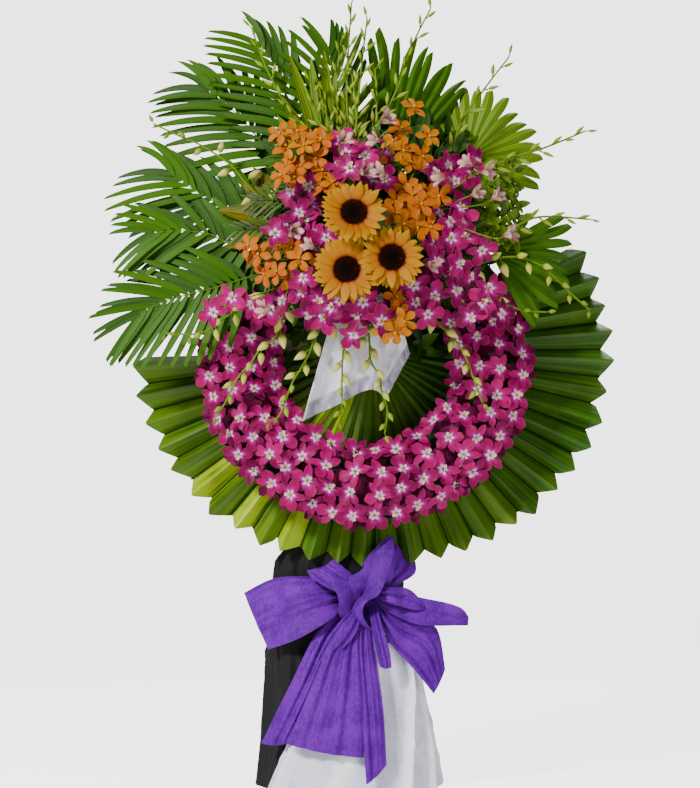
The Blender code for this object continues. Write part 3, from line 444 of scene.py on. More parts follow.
leaf_green, tree, shader = new_material("fan_palm_leaf_skin", Specular_IOR_Level=0.24)
layout = on_sheet(tree)
ribs = grain(layout, 1.0, (300.0, 2.0, 1.0), 2.0)
bands = grain(layout, 1.0, (34.0, 0.7, 1.0), 3.0)
position = on_object(tree)
cloudy = grain(position, 9.0, (1.0, 1.0, 1.0), 3.0)
streaks = ramp(ribs, 0.5, 0.72)
lime = attribute(tree, "tone") * ramp(bands + cloudy, 0.62, 1.02)
paint(
    shader,
    (0.006, 0.038, 0.001),
    (ramp(bands, 0.3, 0.7), (0.04, 0.12, 0.002)),
    (ramp(cloudy, 0.45, 0.7) * 0.5, (0.055, 0.15, 0.004)),
    # the rib streaks are paler, partly their own colour and partly painted sheen; they are glossier too
    (streaks * 0.35, (0.12, 0.24, 0.03)),
    (lime, (0.31, 0.43, 0.0)),
    # painted shade: the pleats darken into the valleys between them, where the crest measure is near 0
    (ramp(attribute(tree, "ridge"), 0.16, 0.0), (0.003, 0.018, 0.001)),
)
feed(streaks * -0.14 + 0.4, shader.inputs["Roughness"])
bump(shader, ribs + bands, 0.45, 0.001)
for number, tone in enumerate((0.12, 0.95, 0.10, 0.16, 0.05, 0.04)):
    blank = bpy.data.meshes.new("blank")
    leaf = grow(f"pleated_leaf_{number + 1}", blank, pleated, {
        "Start": radians(181.5 + 34.4 * number),
        "Sweep": radians(34.4),
        "Tone": tone,
        "Seed": number + 3,
        "Material": leaf_green,
    }, thickness=0.0009)
    leaf.data.set_sharp_from_angle(angle=radians(20))
    hand_in(leaf, "fan_palm_leaf", f"rosette_leaf_{number + 1}")


# Small dark leaves cover the foam ring between the orchids. They are pushed into the foam by their
# stalks and stand out at all angles.
def new_build():
    """An empty mesh in the making: points, faces, their layout on a plane, and the part each is of."""
    return [], [], [], []


def add_sheet(build, columns, rows, spot, part=0.0):
    """Adds a sheet whose point at (across, along), both from 0 to 1, is spot(across, along)."""
    points, faces, layout, parts = build
    first = len(points)
    for row in range(rows + 1):
        for column in range(columns + 1):
            points.append(spot(column / columns, row / rows))
            layout.append((column / columns, row / rows))
            parts.append(part)
    for row in range(rows):
        for column in range(columns):
            corner = first + row * (columns + 1) + column
            faces.append((corner, corner + 1, corner + columns + 2, corner + columns + 1))


def make(name, build, finish, thickness=0.0, matrix=None):
    """Makes a plain smooth mesh object of what was built."""
    points, faces, layout, parts = build
    mesh = bpy.data.meshes.new(name)
    mesh.from_pydata(points, [], faces)
    uv = mesh.uv_layers.new(name="UVMap")
    uv.data.foreach_set("uv", [value for loop in mesh.loops for value in layout[loop.vertex_index]])
    mesh.attributes.new("part", "FLOAT", "POINT").data.foreach_set("value", parts)
    mesh.shade_smooth()
    mesh.materials.append(finish)
    holder = bpy.data.objects.new(f"{name}_source", mesh)
    scene.collection.objects.link(holder)
    return plain(name, holder, matrix, thickness)


def add_blade(build, length, width, widest, fold, droop, columns, rows, root=0.0, blunt=0.8):
    """A leaf along +Y that faces +Z: folded along its middle, and bent back towards its tip."""
    power = log(0.5) / log(widest)

    def spot(across, along):
        side = 2 * across - 1
        half = width / 2 * max(sin(pi * (root + (1 - root) * along) ** power), 0.0) ** blunt
        return Vector((side * half, length * along, fold * abs(side) * half - droop * length * along**2))

    add_sheet(build, columns, rows, spot)


def turned(rotation, axis, angle):
    """Turns a rotation about one of its own axes."""
    turn = add(rotation, "FunctionNodeAxisAngleToRotation", {"Axis": axis, "Angle": angle})
    return combine("FunctionNodeRotateRotation", rotation, turn, rotation_space="LOCAL")


def template(source):
    """The geometry of an object that is given as an input."""
    return combine("GeometryNodeObjectInfo", source, True)["Geometry"]


def copies(points, instance, rotation, scale, pick=None):
    """The instance on each point, or the one of its parts that pick says."""
    values = {"Points": points, "Instance": instance, "Rotation": rotation, "Scale": scale}
    if pick:
        values |= {"Pick Instance": True, "Instance Index": pick}
    return add(points, "GeometryNodeInstanceOnPoints", values)


cover, group = new_tree("leaf cover", {
    "Leaf": "Object",
    "Density": 1500.0,
    "Least rise": 0.3,
    "Most rise": 1.2,
    "Seed": 1,
})
values = {0: group["Geometry"], 4: group["Density"], 6: group["Seed"]}
scattered = add(cover, "GeometryNodeDistributePointsOnFaces", values)
points = store(scattered[0], "tone", draw(cover, 0.0, 1.0, 3))
rotation = turned(scattered["Rotation"], (0, 0, 1), draw(cover, 0.0, tau, 4))
rotation = turned(rotation, (1, 0, 0), draw(cover, group["Least rise"], group["Most rise"], 5))
scattered = copies(points, template(group["Leaf"]), rotation, draw(cover, 0.65, 1.15, 6))
close_tree(group, scattered)


def layout_axes(tree):
    """How far across and how far along its sheet a point lies."""
    axes = combine("ShaderNodeSeparateXYZ", on_sheet(tree))
    return axes[0], axes[1]


def off_middle(across):
    """0 on the middle line of a sheet and 1 on its edges."""
    return abs(across * 2 - 1)


small_leaf, tree, shader = new_material("small_leaf_skin", Roughness=0.45, Specular_IOR_Level=0.2)
rib = ramp(off_middle(layout_axes(tree)[0]), 0.12, 0.0)
paint(
    shader,
    (0.005, 0.026, 0.001),
    (attribute(tree, "tone"), (0.034, 0.098, 0.001)),
    (rib * 0.4, (0.07, 0.15, 0.02)),
)
build = new_build()
add_blade(build, 0.034, 0.017, 0.42, 0.3, 0.2, 2, 5)
sprig = make("sprig", build, small_leaf)
build = new_build()
add_sheet(build, 48, 6, lambda across, along: Vector((
    (0.262 - 0.078 * cos(pi * along)) * cos(radians(146 + 248 * across)),
    -0.012 - 0.070 * sin(pi * along) ** 0.5,
    (0.262 - 0.078 * cos(pi * along)) * sin(radians(146 + 248 * across)),
)))
add_sheet(build, 48, 2, lambda across, along: Vector((
    0.343 * cos(radians(150 + 240 * across)),
    -0.075 + 0.055 * along,
    0.343 * sin(radians(150 + 240 * across)),
)))
bed = make("bed", build, small_leaf)
ring_foliage = grow("ring_foliage", bed.data, cover, {
    "Leaf": sprig, "Density": 4200.0, "Seed": 5, "Material": small_leaf,
})
arcs = [f"ring_orchids_{number}" for number in range(1, 7)]
hand_in(ring_foliage, "dark_leaf", *arcs)


# Ring of magenta orchids: cut Dendrobium blooms whose stalks are pushed into the foam, in four close
# rows. Each has five petals with a white throat, a darker lip and a cream column.
def add_petal(build, turn, length, width, widest, lift, curl, cup, ruffle, part=0.0, columns=6, rows=6):
    """A petal in the XY plane that faces +Z and points at this angle from +Y."""
    power = log(0.5) / log(widest)
    out = Vector((sin(turn), cos(turn), 0))
    aside = Vector((cos(turn), -sin(turn), 0))

    def spot(across, along):
        side = 2 * across - 1
        half = width / 2 * max(sin(pi * (0.03 + 0.97 * along) ** power), 0.02) ** 0.62
        rise = lift * sin(pi * along / 2) - curl * along**2 + cup * side**2 * half
        rise += ruffle * side * abs(side) * sin(8 * along + 3 * turn)
        return out * (0.002 + length * along) + aside * side * half + Vector((0, 0, rise))

    add_sheet(build, columns, rows, spot, part)


def add_knob(build, centre, radius, stretch, part, steps=6):
    """A small closed knob, stretched along Z."""
    add_sheet(build, steps, 4, lambda across, along: Vector(centre) + radius * Vector((
        sin(pi * along) * cos(tau * across), sin(pi * along) * sin(tau * across), stretch * cos(pi * along)
    )), part)


def orchid(name, finish, seed, broad=0.0225, narrow=0.0145, length=0.029):
    """A Dendrobium bloom: three sepals, two broad petals, a short lip and a column."""
    chance = random.Random(seed)
    build = new_build()
    for turn, width in ((0.0, narrow), (2.30, narrow * 1.1), (-2.30, narrow * 1.1)):
        lean = chance.uniform(-0.12, 0.12)
        curl = chance.uniform(-0.003, 0.007)
        add_petal(build, turn + lean, length, width, 0.50, 0.002, curl, 0.22, 0.0008)
    for turn in (1.15, -1.15):
        lean = chance.uniform(-0.12, 0.12)
        curl = chance.uniform(-0.003, 0.006)
        add_petal(build, turn + lean, length * 1.02, broad, 0.62, 0.005, curl, 0.14, 0.0014)
    add_petal(build, pi, length * 0.34, length * 0.24, 0.6, 0.007, 0.003, 0.6, 0.0006, 1.0, 4, 4)
    for turn in (2.2, -2.2):
        add_petal(build, turn, length * 0.15, length * 0.16, 0.5, 0.006, 0.0, 0.6, 0.0, 1.0, 3, 3)
    add_knob(build, (0, 0.0012, 0.0035), 0.0018, 1.7, 2.0)
    return make(name, build, finish, 0.0005)


def named(tree, label, kind="FLOAT"):
    """A stored attribute, in a tree that makes shapes."""
    return add(tree, "GeometryNodeInputNamedAttribute", {"Name": label}, data_type=kind)


flowers, group = new_tree("flower scatter", {
    "First": "Object",
    "Second": "Object",
    "Third": "Object",
})
kinds = together(*(template(group[label]) for label in ("First", "Second", "Third")))
facing = named(flowers, "facing", "FLOAT_VECTOR")
aimed = add(flowers, "FunctionNodeAlignRotationToVector", {"Vector": facing}, axis="Z")
rotation = turned(aimed, (0, 0, 1), named(flowers, "roll"))
number = add(flowers, "GeometryNodeInputIndex")
blooms = copies(group["Geometry"], kinds, rotation, named(flowers, "size"), number)
close_tree(group, blooms)


def scatter(name, spots, kinds, finish):
    """One of three kinds of flower on each spot: a place, a facing, a roll, a size and a tone."""
    mesh = bpy.data.meshes.new("spots")
    mesh.from_pydata([spot[0] for spot in spots], [], [])
    facing = mesh.attributes.new("facing", "FLOAT_VECTOR", "POINT")
    facing.data.foreach_set("vector", [value for spot in spots for value in spot[1]])
    for column, label in ((2, "roll"), (3, "size"), (4, "tone")):
        values = [spot[column] for spot in spots]
        mesh.attributes.new(label, "FLOAT", "POINT").data.foreach_set("value", values)
    values = {"First": kinds[0], "Second": kinds[1], "Third": kinds[2], "Material": finish}
    return grow(name, mesh, flowers, values)


magenta, tree, shader = new_material("magenta_orchid_petal", Roughness=0.5, Specular_IOR_Level=0.12)
across, along = layout_axes(tree)
layout = on_sheet(tree)
veins = grain(layout, 1.0, (26.0, 2.0, 1.0), 2.0)
cloudy = grain(layout, 2.2, (2.0, 2.0, 1.0), 2.0)
tone = attribute(tree, "tone")
part = attribute(tree, "part")
edge = ramp(off_middle(across), 0.84, 1.0)
start = veins * 0.26 + 0.17
start = off_middle(across) * -0.26 + start
start = along - start
lip = blend(ramp(along, 0.45, 0.95), (0.62, 0.5, 0.3), (0.55, 0.26, 0.42))
paint(
    shader,
    (0.12, 0.0, 0.032),
    (tone, (0.36, 0.0, 0.098)),
    (ramp(veins, 0.45, 0.75) * 0.5, (0.09, 0.0, 0.03)),
    (edge * 0.35, (0.42, 0.04, 0.22)),
    (ramp(start, 0.34, 0.0), (0.36, 0.0, 0.2)),
    (ramp(start, 0.07, -0.1), (0.7, 0.52, 0.68)),
    (ramp(part, 0.4, 0.6), lip),
    (ramp(part, 1.4, 1.6), (0.45, 0.27, 0.04)),
    # painted shade: part 3 (the under blooms) is a flat dark magenta, without white throat or tone
    (ramp(part, 2.4, 2.6), (0.1, 0.0, 0.03)),
)
bump(shader, veins, 0.3, 0.0005)
orchids = [orchid(f"orchid_kind_{number}", magenta, number) for number in range(3)]
# Under the front rows lies a layer of plain five-petalled blooms in a flat dark magenta: painted shade
# between the front blooms.
build = new_build()
for step in range(5):
    add_petal(build, tau * step / 5, 0.029, 0.021, 0.6, 0.004, 0.006, 0.15, 0.0, 3.0, 3, 4)
under_bloom = make("under_bloom", build, magenta, 0.0005)
chance = random.Random(21)
for number in range(6):
    spots = []
    for spread, count, depth, lean in (
        (0.196, 3, -0.098, -0.50),
        (0.240, 3, -0.113, -0.15),
        (0.284, 4, -0.115, 0.15),
        (0.326, 5, -0.101, 0.50),
    ):
        for step in range(count):
            share = (step + 0.5 + chance.uniform(-0.14, 0.14)) / count
            angle = radians(150 + 40 * (number + share))
            out = Vector((cos(angle), 0, sin(angle)))
            place = out * (spread + chance.uniform(-0.005, 0.005))
            place.y = depth + chance.uniform(-0.006, 0.006)
            facing = Vector((chance.uniform(-0.45, 0.45), -1, chance.uniform(-0.45, 0.45))) + out * lean
            facing.normalize()
            tone = chance.uniform(0.1, 1.0)
            spots.append((place, facing, chance.uniform(-pi, pi), chance.uniform(1.0, 1.18), tone))
    blooms = scatter(f"ring_blooms_{number + 1}", spots, orchids, magenta)
    hand_in(blooms, "magenta_petal", arcs[number])
    spots = []
    for spread, count, depth in (
        (0.214, 3, -0.090), (0.262, 4, -0.100), (0.306, 4, -0.094), (0.330, 4, -0.080),
    ):
        for step in range(count):
            angle = radians(150 + 40 * (number + (step + chance.random()) / count))
            place = Vector((spread * cos(angle), depth, spread * sin(angle)))
            facing = Vector((chance.uniform(-0.5, 0.5), -1, chance.uniform(-0.5, 0.5))).normalized()
            spots.append((place, facing, chance.uniform(-pi, pi), 1.0, chance.uniform(-0.4, 0.4)))
    under = scatter(f"ring_under_blooms_{number + 1}", spots, [under_bloom] * 3, magenta)
    hand_in(under, "magenta_petal", arcs[number])


# Palm fronds: six feather-palm leaves whose stems are pushed into the sides of the foam block. Each has
# a tapering stem and two rows of narrow folded leaflets that lie closer to the stem towards its tip.
def block_root(place, depth):
    """Where a stem that comes from this place ends inside the foam block."""
    away = Vector((place.x, 0, place.z - 0.245))
    share = min(0.10 / max(abs(away.x), 0.001), 0.055 / max(abs(away.z), 0.001), 0.8)
    return Vector((away.x * share, depth, 0.245 + away.z * share))


def lines(name, paths):
    """A curve with a line through the points of each path."""
    made = bpy.data.curves.new(name, "CURVE")
    made.dimensions = "3D"
    for path in paths:
        line = made.splines.new("POLY")
        line.points.add(len(path) - 1)
        line.points.foreach_set("co", [value for point in path for value in (*point, 1.0)])
    return made


def tapered(curve, radius, tip):
    """A round stem along a curve, with its thickness at the root and at the tip."""
    share = add(curve, "GeometryNodeSplineParameter")["Factor"]
    width = add(curve, "ShaderNodeMapRange", {0: share, 3: radius, 4: tip})
    ring = add(curve, "GeometryNodeCurvePrimitiveCircle", {0: 6, 4: 1.0}, mode="RADIUS")
    values = {"Curve": curve, "Profile Curve": ring, "Scale": width, "Fill Caps": True}
    return store(add(curve, "GeometryNodeCurveToMesh", values), "part", 2.0)


def rounded(curve, length):
    """The curve made smooth through its points, with points this far apart."""
    smooth = combine("GeometryNodeCurveSplineType", curve, spline_type="CATMULL_ROM")
    return add(curve, "GeometryNodeResampleCurve", {"Curve": smooth, "Length": length}, mode="LENGTH")


def tangent_frame(tree):
    """A rotation that faces the front, with its length along the curve."""
    front = add(tree, "FunctionNodeAlignRotationToVector", {"Vector": (0, -1, 0)}, axis="Z")
    values = {"Rotation": front, "Vector": add(tree, "GeometryNodeInputTangent")}
    return add(tree, "FunctionNodeAlignRotationToVector", values, axis="Y", pivot_axis="Z")


feather, group = new_tree("feather frond", {
    "Leaflet": "Object",
    "Pairs": 22,
    "Bare": 0.3,
    "Length": 0.17,
    "Root angle": radians(62),
    "Tip angle": radians(20),
    "Stem": 0.003,
    "Sag": (0, 0, -0.1),
    "Seed": 1,
})
line = rounded(group["Geometry"], 0.012)
parts = [tapered(line, group["Stem"], 0.0007)]
leafy = add(feather, "GeometryNodeTrimCurve", {0: line, 2: group["Bare"], 3: 0.995}, mode="FACTOR")
leafy = add(feather, "GeometryNodeResampleCurve", {"Curve": leafy, "Count": group["Pairs"]}, mode="COUNT")
share = add(feather, "GeometryNodeSplineParameter")["Factor"]
angle = add(feather, "ShaderNodeMapRange", {0: share, 3: group["Root angle"], 4: group["Tip angle"]})
reach = share * (share * -1.05 + 0.9)
reach = group["Length"] * (reach + 0.72)
wide = group["Length"] * (share * -0.3 + 1.05)
far = combine("ShaderNodeSeparateXYZ", named(feather, "UVMap", "FLOAT_VECTOR"))[1]
bend = far * far * group["Length"]
sag = add(feather, "ShaderNodeVectorMath", {0: group["Sag"], 3: bend}, operation="SCALE")
for side in (1, -1):
    seed = group["Seed"] + 10 * side
    swing = (angle + draw(feather, -0.09, 0.09, seed)) * side
    rotation = turned(tangent_frame(feather), (0, 0, 1), swing)
    rotation = turned(rotation, (0, 1, 0), draw(feather, -0.05 * side, 0.35 * side, seed))
    rotation = turned(rotation, (1, 0, 0), draw(feather, -0.1, 0.12, seed))
    points = store(leafy[0], "tone", draw(feather, 0.0, 1.0, seed))
    scale = vector(wide, reach * draw(feather, 0.93, 1.05, seed), wide)
    leaflets = copies(points, template(group["Leaflet"]), rotation, scale)
    leaflets = combine("GeometryNodeRealizeInstances", leaflets)
    leaflets = add(feather, "GeometryNodeSetPosition", {"Geometry": leaflets, "Offset": sag})
    parts.append(leaflets)
close_tree(group, *parts)

frond_skin, tree, shader = new_material("feather_palm_skin", Roughness=0.5, Specular_IOR_Level=0.1)
ribs = grain(on_sheet(tree), 1.0, (30.0, 2.0, 1.0), 2.0)
rib = ramp(off_middle(layout_axes(tree)[0]), 0.16, 0.0)
paint(
    shader,
    (0.012, 0.05, 0.0),
    (attribute(tree, "tone"), (0.036, 0.11, 0.0)),
    (rib * 0.25, (0.08, 0.16, 0.004)),
    (ramp(ribs, 0.5, 0.8) * 0.4, (0.09, 0.2, 0.01)),
    (ramp(attribute(tree, "part"), 1.4, 1.6), (0.07, 0.15, 0.008)),
)
bump(shader, ribs, 0.3, 0.0004)
build = new_build()
add_sheet(build, 2, 12, lambda across, along: Vector((
    (2 * across - 1) * 0.052 * min(1.0, 0.35 + 3.5 * along) * (1 - 2.0 * max(along - 0.52, 0.0) ** 2),
    along - 0.022 * (2 * across - 1) * along**4,
    0.007 * abs(2 * across - 1) - 0.10 * along**2,
)))
leaflet = make("leaflet", build, frond_skin, 0.0028)
for number, (depth, length, bare, pairs, path, aside, down) in enumerate((
    (-0.132, 0.165, 0.40, 16, ((-280, 1050), (-335, 1036), (-400, 1016), (-432, 1002), (-450, 990)),
     -0.10, -0.14),
    (-0.119, 0.17, 0.30, 14, ((-245, 1137), (-300, 1158), (-360, 1166), (-420, 1163)), -0.02, -0.16),
    (-0.106, 0.20, 0.26, 14, ((-200, 1190), (-270, 1215), (-330, 1248), (-378, 1283)), -0.12, -0.20),
    (-0.093, 0.20, 0.24, 15, ((-140, 1290), (-205, 1365), (-255, 1420), (-305, 1460)), -0.12, -0.20),
    (-0.119, 0.19, 0.26, 14, ((-70, 1290), (-105, 1395), (-150, 1485), (-190, 1550)), -0.14, -0.12),
    (-0.132, 0.17, 0.26, 13, ((-20, 1290), (-30, 1400), (-45, 1480), (-50, 1535)), -0.08, -0.02),
)):
    spots = [seen_at(*spot, depth) for spot in path]
    stem = lines("path", [[block_root(spots[0], depth), *spots]])
    frond = grow(f"feather_frond_{number + 1}", stem, feather, {
        "Leaflet": leaflet,
        "Pairs": pairs,
        "Bare": bare,
        "Length": length,
        "Sag": (aside, 0, down),
        "Seed": number + 1,
        "Material": frond_skin,
    })
    hand_in(frond, "feather_palm_leaf", f"palm_frond_{number + 1}")


# Fan leaves in the spray: three fan-palm leaves on stalks in the block's sides, pleated near the stalk
# and split further out into fingers whose ends are cut off slanting. The middle one is streaked.
fan, group = new_tree("fan leaf", {
    "Fingers": 9,
    "Base": (0, 0, 0),
    "First angle": 0.0,
    "Last angle": 1.0,
    "First reach": 0.2,
    "Last reach": 0.2,
    "Split": 0.66,
    "Rise": 0.022,
    "Seed": 1,
})
count = add(fan, "GeometryNodePoints", {"Count": group["Fingers"]})
number = add(fan, "GeometryNodeInputIndex")
count = store(count, "finger", number)
count = store(count, "tone", draw(fan, 0.5, 1.6, group["Seed"]))
values = {"Points": count, "Instance": unit_sheet(fan, 5, 22)}
strips = combine("GeometryNodeRealizeInstances", add(fan, "GeometryNodeInstanceOnPoints", values))
finger = named(fan, "finger")
spot = where(fan)
side = spot[0] * 2
along = spot[1] + 0.5
middle = (finger + 0.5) / group["Fingers"]
turn = group["Last angle"] - group["First angle"]
half = turn / (group["Fingers"] * 2)
past = along - group["Split"]
past = maths("MAXIMUM", past / (1 - group["Split"]), 0)
taper = past ** 2.2 * -0.62 + 1
curl = draw(fan, -0.05, 0.05, 4, finger) * (past * past)
angle = middle * turn + group["First angle"]
angle = angle + side * half * taper
angle = angle + curl
reach = add(fan, "ShaderNodeMix", {0: middle, 2: group["First reach"], 3: group["Last reach"]})
reach = reach * draw(fan, 0.9, 1.02, group["Seed"], finger)
cut = side * past * -0.025 + along
spread = cut * reach + 0.01
ridge = abs(side) * 2 - 1
height = ridge * (spread * group["Rise"]) * taper
height = height + past * past * 0.018
x = spread * maths("COSINE", angle)
z = spread * maths("SINE", angle)
place = combine("ShaderNodeVectorMath", vector(x, height, z), group["Base"])
values = {"Geometry": moved(strips, place), "Distance": 0.0004}
merged = add(fan, "GeometryNodeMergeByDistance", values)
close_tree(group, merged, tapered(rounded(group["Geometry"], 0.01), 0.003, 0.0022))

streaked, tree, shader = new_material("streaked_fan_skin", Roughness=0.5, Specular_IOR_Level=0.12)
streaks = grain(on_sheet(tree), 1.0, (9.0, 0.5, 1.0), 2.0)
paint(
    shader,
    (0.028, 0.095, 0.0),
    (attribute(tree, "tone"), (0.075, 0.165, 0.001)),
    (ramp(streaks, 0.46, 0.66), (0.19, 0.26, 0.004)),
)
bump(shader, streaks, 0.3, 0.0004)
for number, (depth, base, first, last, tips, reach_first, reach_last, finish) in enumerate((
    (-0.110, (70, 1285), 46.0, 99.0, 10, 0.255, 0.312, frond_skin),
    (-0.098, (235, 1315), -26.0, 152.0, 16, 0.152, 0.150, streaked),
    (-0.120, (285, 1125), -64.0, 30.0, 10, 0.175, 0.165, frond_skin),
)):
    place = seen_at(*base, depth)
    middle = radians((first + last) / 2)
    tip = place + 0.02 * Vector((cos(middle), 0, sin(middle)))
    stalk = lines("stalk", [[block_root(place, depth), place, tip]])
    leaf = grow(f"split_fan_{number + 1}", stalk, fan, {
        "Fingers": tips,
        "Base": place,
        "First angle": radians(first),
        "Last angle": radians(last),
        "First reach": reach_first,
        "Last reach": reach_last,
        "Seed": number + 2,
        "Material": finish,
    }, thickness=0.0008)
    leaf.data.set_sharp_from_angle(angle=radians(20))
    hand_in(leaf, "fan_palm_leaf", f"fan_leaf_{number + 1}")


# Filler leaves, pushed into the foam block by their stalks: long pale striped leaves at the top, broad
# yellow-brown leaves beside the flowers, light foliage at the right, and small dark leaves and fern
# over the block and down into the ring's hole.
pale_leaf, tree, shader = new_material("striped_leaf_skin", Roughness=0.5, Specular_IOR_Level=0.12)
stripes = grain(on_sheet(tree), 1.0, (9.0, 0.5, 1.0), 2.0)
paint(shader, (0.04, 0.105, 0.0), (ramp(stripes, 0.4, 0.6), (0.15, 0.215, 0.0)))
bump(shader, stripes, 0.3, 0.0004)
broad_leaf, tree, shader = new_material("broad_leaf_skin", Roughness=0.5, Specular_IOR_Level=0.12)
patches = grain(on_sheet(tree), 3.0, (2.0, 1.5, 1.0), 4.0)
rib = ramp(off_middle(layout_axes(tree)[0]), 0.1, 0.0)
paint(
    shader,
    (0.035, 0.075, 0.0),
    (ramp(patches, 0.35, 0.65), (0.17, 0.11, 0.001)),
    (rib * 0.5, (0.22, 0.17, 0.01)),
)


def add_leaf(build, start, end, width, widest, droop, twist):
    """A long leaf between two points of the face, turned a little about its length."""
    run = end - start
    axis = run.normalized()
    front = Vector((0, -1, 0))
    aside = axis.cross(front).normalized()
    front = aside.cross(axis)
    power = log(0.5) / log(widest)

    def spot(across, along):
        side = 2 * across - 1
        half = width / 2 * max(sin(pi * (0.02 + 0.98 * along) ** power), 0.01) ** 0.75
        angle = twist * along
        away = aside * cos(angle) + front * sin(angle)
        up = front * cos(angle) - aside * sin(angle)
        return start + run * along + away * side * half + up * (abs(side) * half * 0.3 - droop * along**2)

    add_sheet(build, 4, 16, spot)


for name, node, finish, slot, depth, width, base, tips in (
    ("striped_leaves", "pale_leaves_top", pale_leaf, "pale_leaf", -0.148, 0.032, (-60, 1270), (
        (-95, 1535), (-118, 1500), (-45, 1515), (-150, 1455), (-80, 1500), (-60, 1556), (-165, 1410),
        (-20, 1460), (8, 1490), (-132, 1540), (35, 1450),
    )),
    ("broad_leaves_left", "broad_leaf_left", broad_leaf, "dark_leaf", -0.148, 0.046, (-160, 1190), (
        (-235, 1265), (-285, 1215), (-270, 1130), (-230, 1090), (-215, 1300),
    )),
    ("broad_leaves_right", "broad_leaf_right", broad_leaf, "pale_leaf", -0.148, 0.046, (170, 1165), (
        (255, 1215), (265, 1135), (235, 1250),
    )),
):
    build = new_build()
    start = seen_at(*base, depth)
    inside = block_root(start, depth)
    for number, spot in enumerate(tips):
        tip = seen_at(*spot, depth + 0.004 * (number % 3))
        add_leaf(build, start.lerp(inside, 0.3), tip, width, 0.45, 0.012, 0.35 * (-1) ** number)
    leaves = make(name, build, finish, 0.0008, face)
    hand_in(leaves, slot, node)
build = new_build()
add_sheet(build, 8, 8, lambda across, along: Vector((
    -0.20 + 0.44 * across,
    -0.176 + 0.10 * (2 * across - 1) ** 4 + 0.07 * (2 * along - 1) ** 4,
    0.125 + 0.365 * along,
)))
add_sheet(build, 12, 4, lambda across, along: Vector((
    0.19 * cos(pi * across) * (1 - 0.6 * along),
    -0.016 - 0.035 * along,
    0.02 + 0.17 * sin(pi * across) * (1 - 0.5 * along),
)))
hump = make("hump", build, small_leaf)
build = new_build()
add_blade(build, 0.062, 0.026, 0.42, 0.3, 0.15, 2, 6)
broad_sprig = make("broad_sprig", build, small_leaf)
block_foliage = grow("block_foliage", hump.data, cover, {
    "Leaf": broad_sprig, "Density": 4200.0, "Least rise": 0.2, "Most rise": 1.0, "Seed": 8,
    "Material": small_leaf,
})
hand_in(block_foliage, "dark_leaf", "broad_leaf_left")
light_leaf, tree, shader = new_material("light_leaf_skin", Roughness=0.45, Specular_IOR_Level=0.2)
paint(shader, (0.03, 0.09, 0.0), (attribute(tree, "tone"), (0.14, 0.23, 0.003)))
build = new_build()
add_sheet(build, 6, 6, lambda across, along: seen_at(
    245 + 112 * across - 20 * along, 1130 + 175 * along, -0.120 - 0.035 * sin(pi * across)))
shoulder = make("shoulder", build, light_leaf)
side_foliage = grow("side_foliage", shoulder.data, cover, {
    "Leaf": sprig, "Density": 9000.0, "Least rise": 0.2, "Most rise": 0.9, "Seed": 4, "Material": light_leaf,
})
hand_in(side_foliage, "pale_leaf", "broad_leaf_right")
build = new_build()
for number, spot in enumerate((
    (-105, 925), (-135, 965), (-150, 1010), (-80, 890), (-120, 1040), (138, 930), (142, 965), (150, 1010),
    (85, 880), (125, 1040), (-95, 985), (100, 985), (60, 905), (-60, 940),
)):
    start = Vector((0.0006 * spot[0], -0.10, 0.165))
    tip = seen_at(*spot, -0.056 - 0.004 * (number % 3))
    add_leaf(build, start, tip, 0.036, 0.5, 0.010, 0.4 * (-1) ** number)
hole_leaves = make("hole_leaves", build, small_leaf, 0.0008, face)
hand_in(hole_leaves, "dark_leaf", "broad_leaf_left")
chance = random.Random(12)
twigs = []
golden_angle = 2.39996
for number in range(40):
    angle = golden_angle * number
    share = sqrt((number + 0.5) / 40)
    depth = chance.uniform(-0.205, -0.170)
    tip = seen_at(15 + 265 * share * cos(angle), 1185 + 200 * share * sin(angle), depth)
    root = block_root(tip, -0.12)
    twigs.append([root, root.lerp(tip, 0.5) + Vector((0, -0.035, chance.uniform(-0.01, 0.02))), tip])
ferns = grow("fern_sprays", lines("twigs", twigs), feather, {
    "Leaflet": leaflet, "Pairs": 11, "Bare": 0.30, "Length": 0.062, "Root angle": 1.15, "Tip angle": 0.5,
    "Stem": 0.0016, "Seed": 9, "Material": small_leaf,
})
hand_in(ferns, "dark_leaf", "broad_leaf_left")


# Bud stems: thin green orchid stems in the block, with pointed buds on short stalks on both sides,
# smaller and greener towards the tip. Some stand up, and some hang before the ring.
def scaled(value, share):
    return add(value, "ShaderNodeVectorMath", {0: value, 3: share}, operation="SCALE")


stems, group = new_tree("bud stem", {
    "Bud": "Object",
    "Spacing": 0.03,
    "Bare": 0.25,
    "Angle": 0.7,
    "Hang": 0.0,
    "Root size": 1.1,
    "Tip size": 0.55,
    "Stem": 0.0024,
    "Seed": 1,
})
line = rounded(group["Geometry"], 0.008)
stem = tapered(line, group["Stem"], 0.0019)
budded = add(stems, "GeometryNodeTrimCurve", {0: line, 2: group["Bare"], 3: 0.999}, mode="FACTOR")
budded = add(
    stems, "GeometryNodeResampleCurve", {"Curve": budded, "Length": group["Spacing"]}, mode="LENGTH"
)
parameter = add(stems, "GeometryNodeSplineParameter")
side = maths("MODULO", parameter["Index"], 2) * 2 - 1
tangent = add(stems, "GeometryNodeInputTangent")
aside = scaled(combine("ShaderNodeVectorMath", tangent, (0, -1, 0), operation="CROSS_PRODUCT"), side)
angle = group["Angle"] + draw(stems, -0.25, 0.25, group["Seed"])
ahead = scaled(tangent, maths("COSINE", angle))
aside = scaled(aside, maths("SINE", angle))
near = vector(0.0, draw(stems, -0.45, 0.25, group["Seed"]), group["Hang"] * -1)
points_to = combine("ShaderNodeVectorMath", ahead, aside, operation="ADD")
points_to = combine("ShaderNodeVectorMath", points_to, near, operation="ADD")
points = store(budded, "tone", draw(stems, 0.0, 1.0, group["Seed"]))
points = store(points, "near tip", parameter["Factor"])
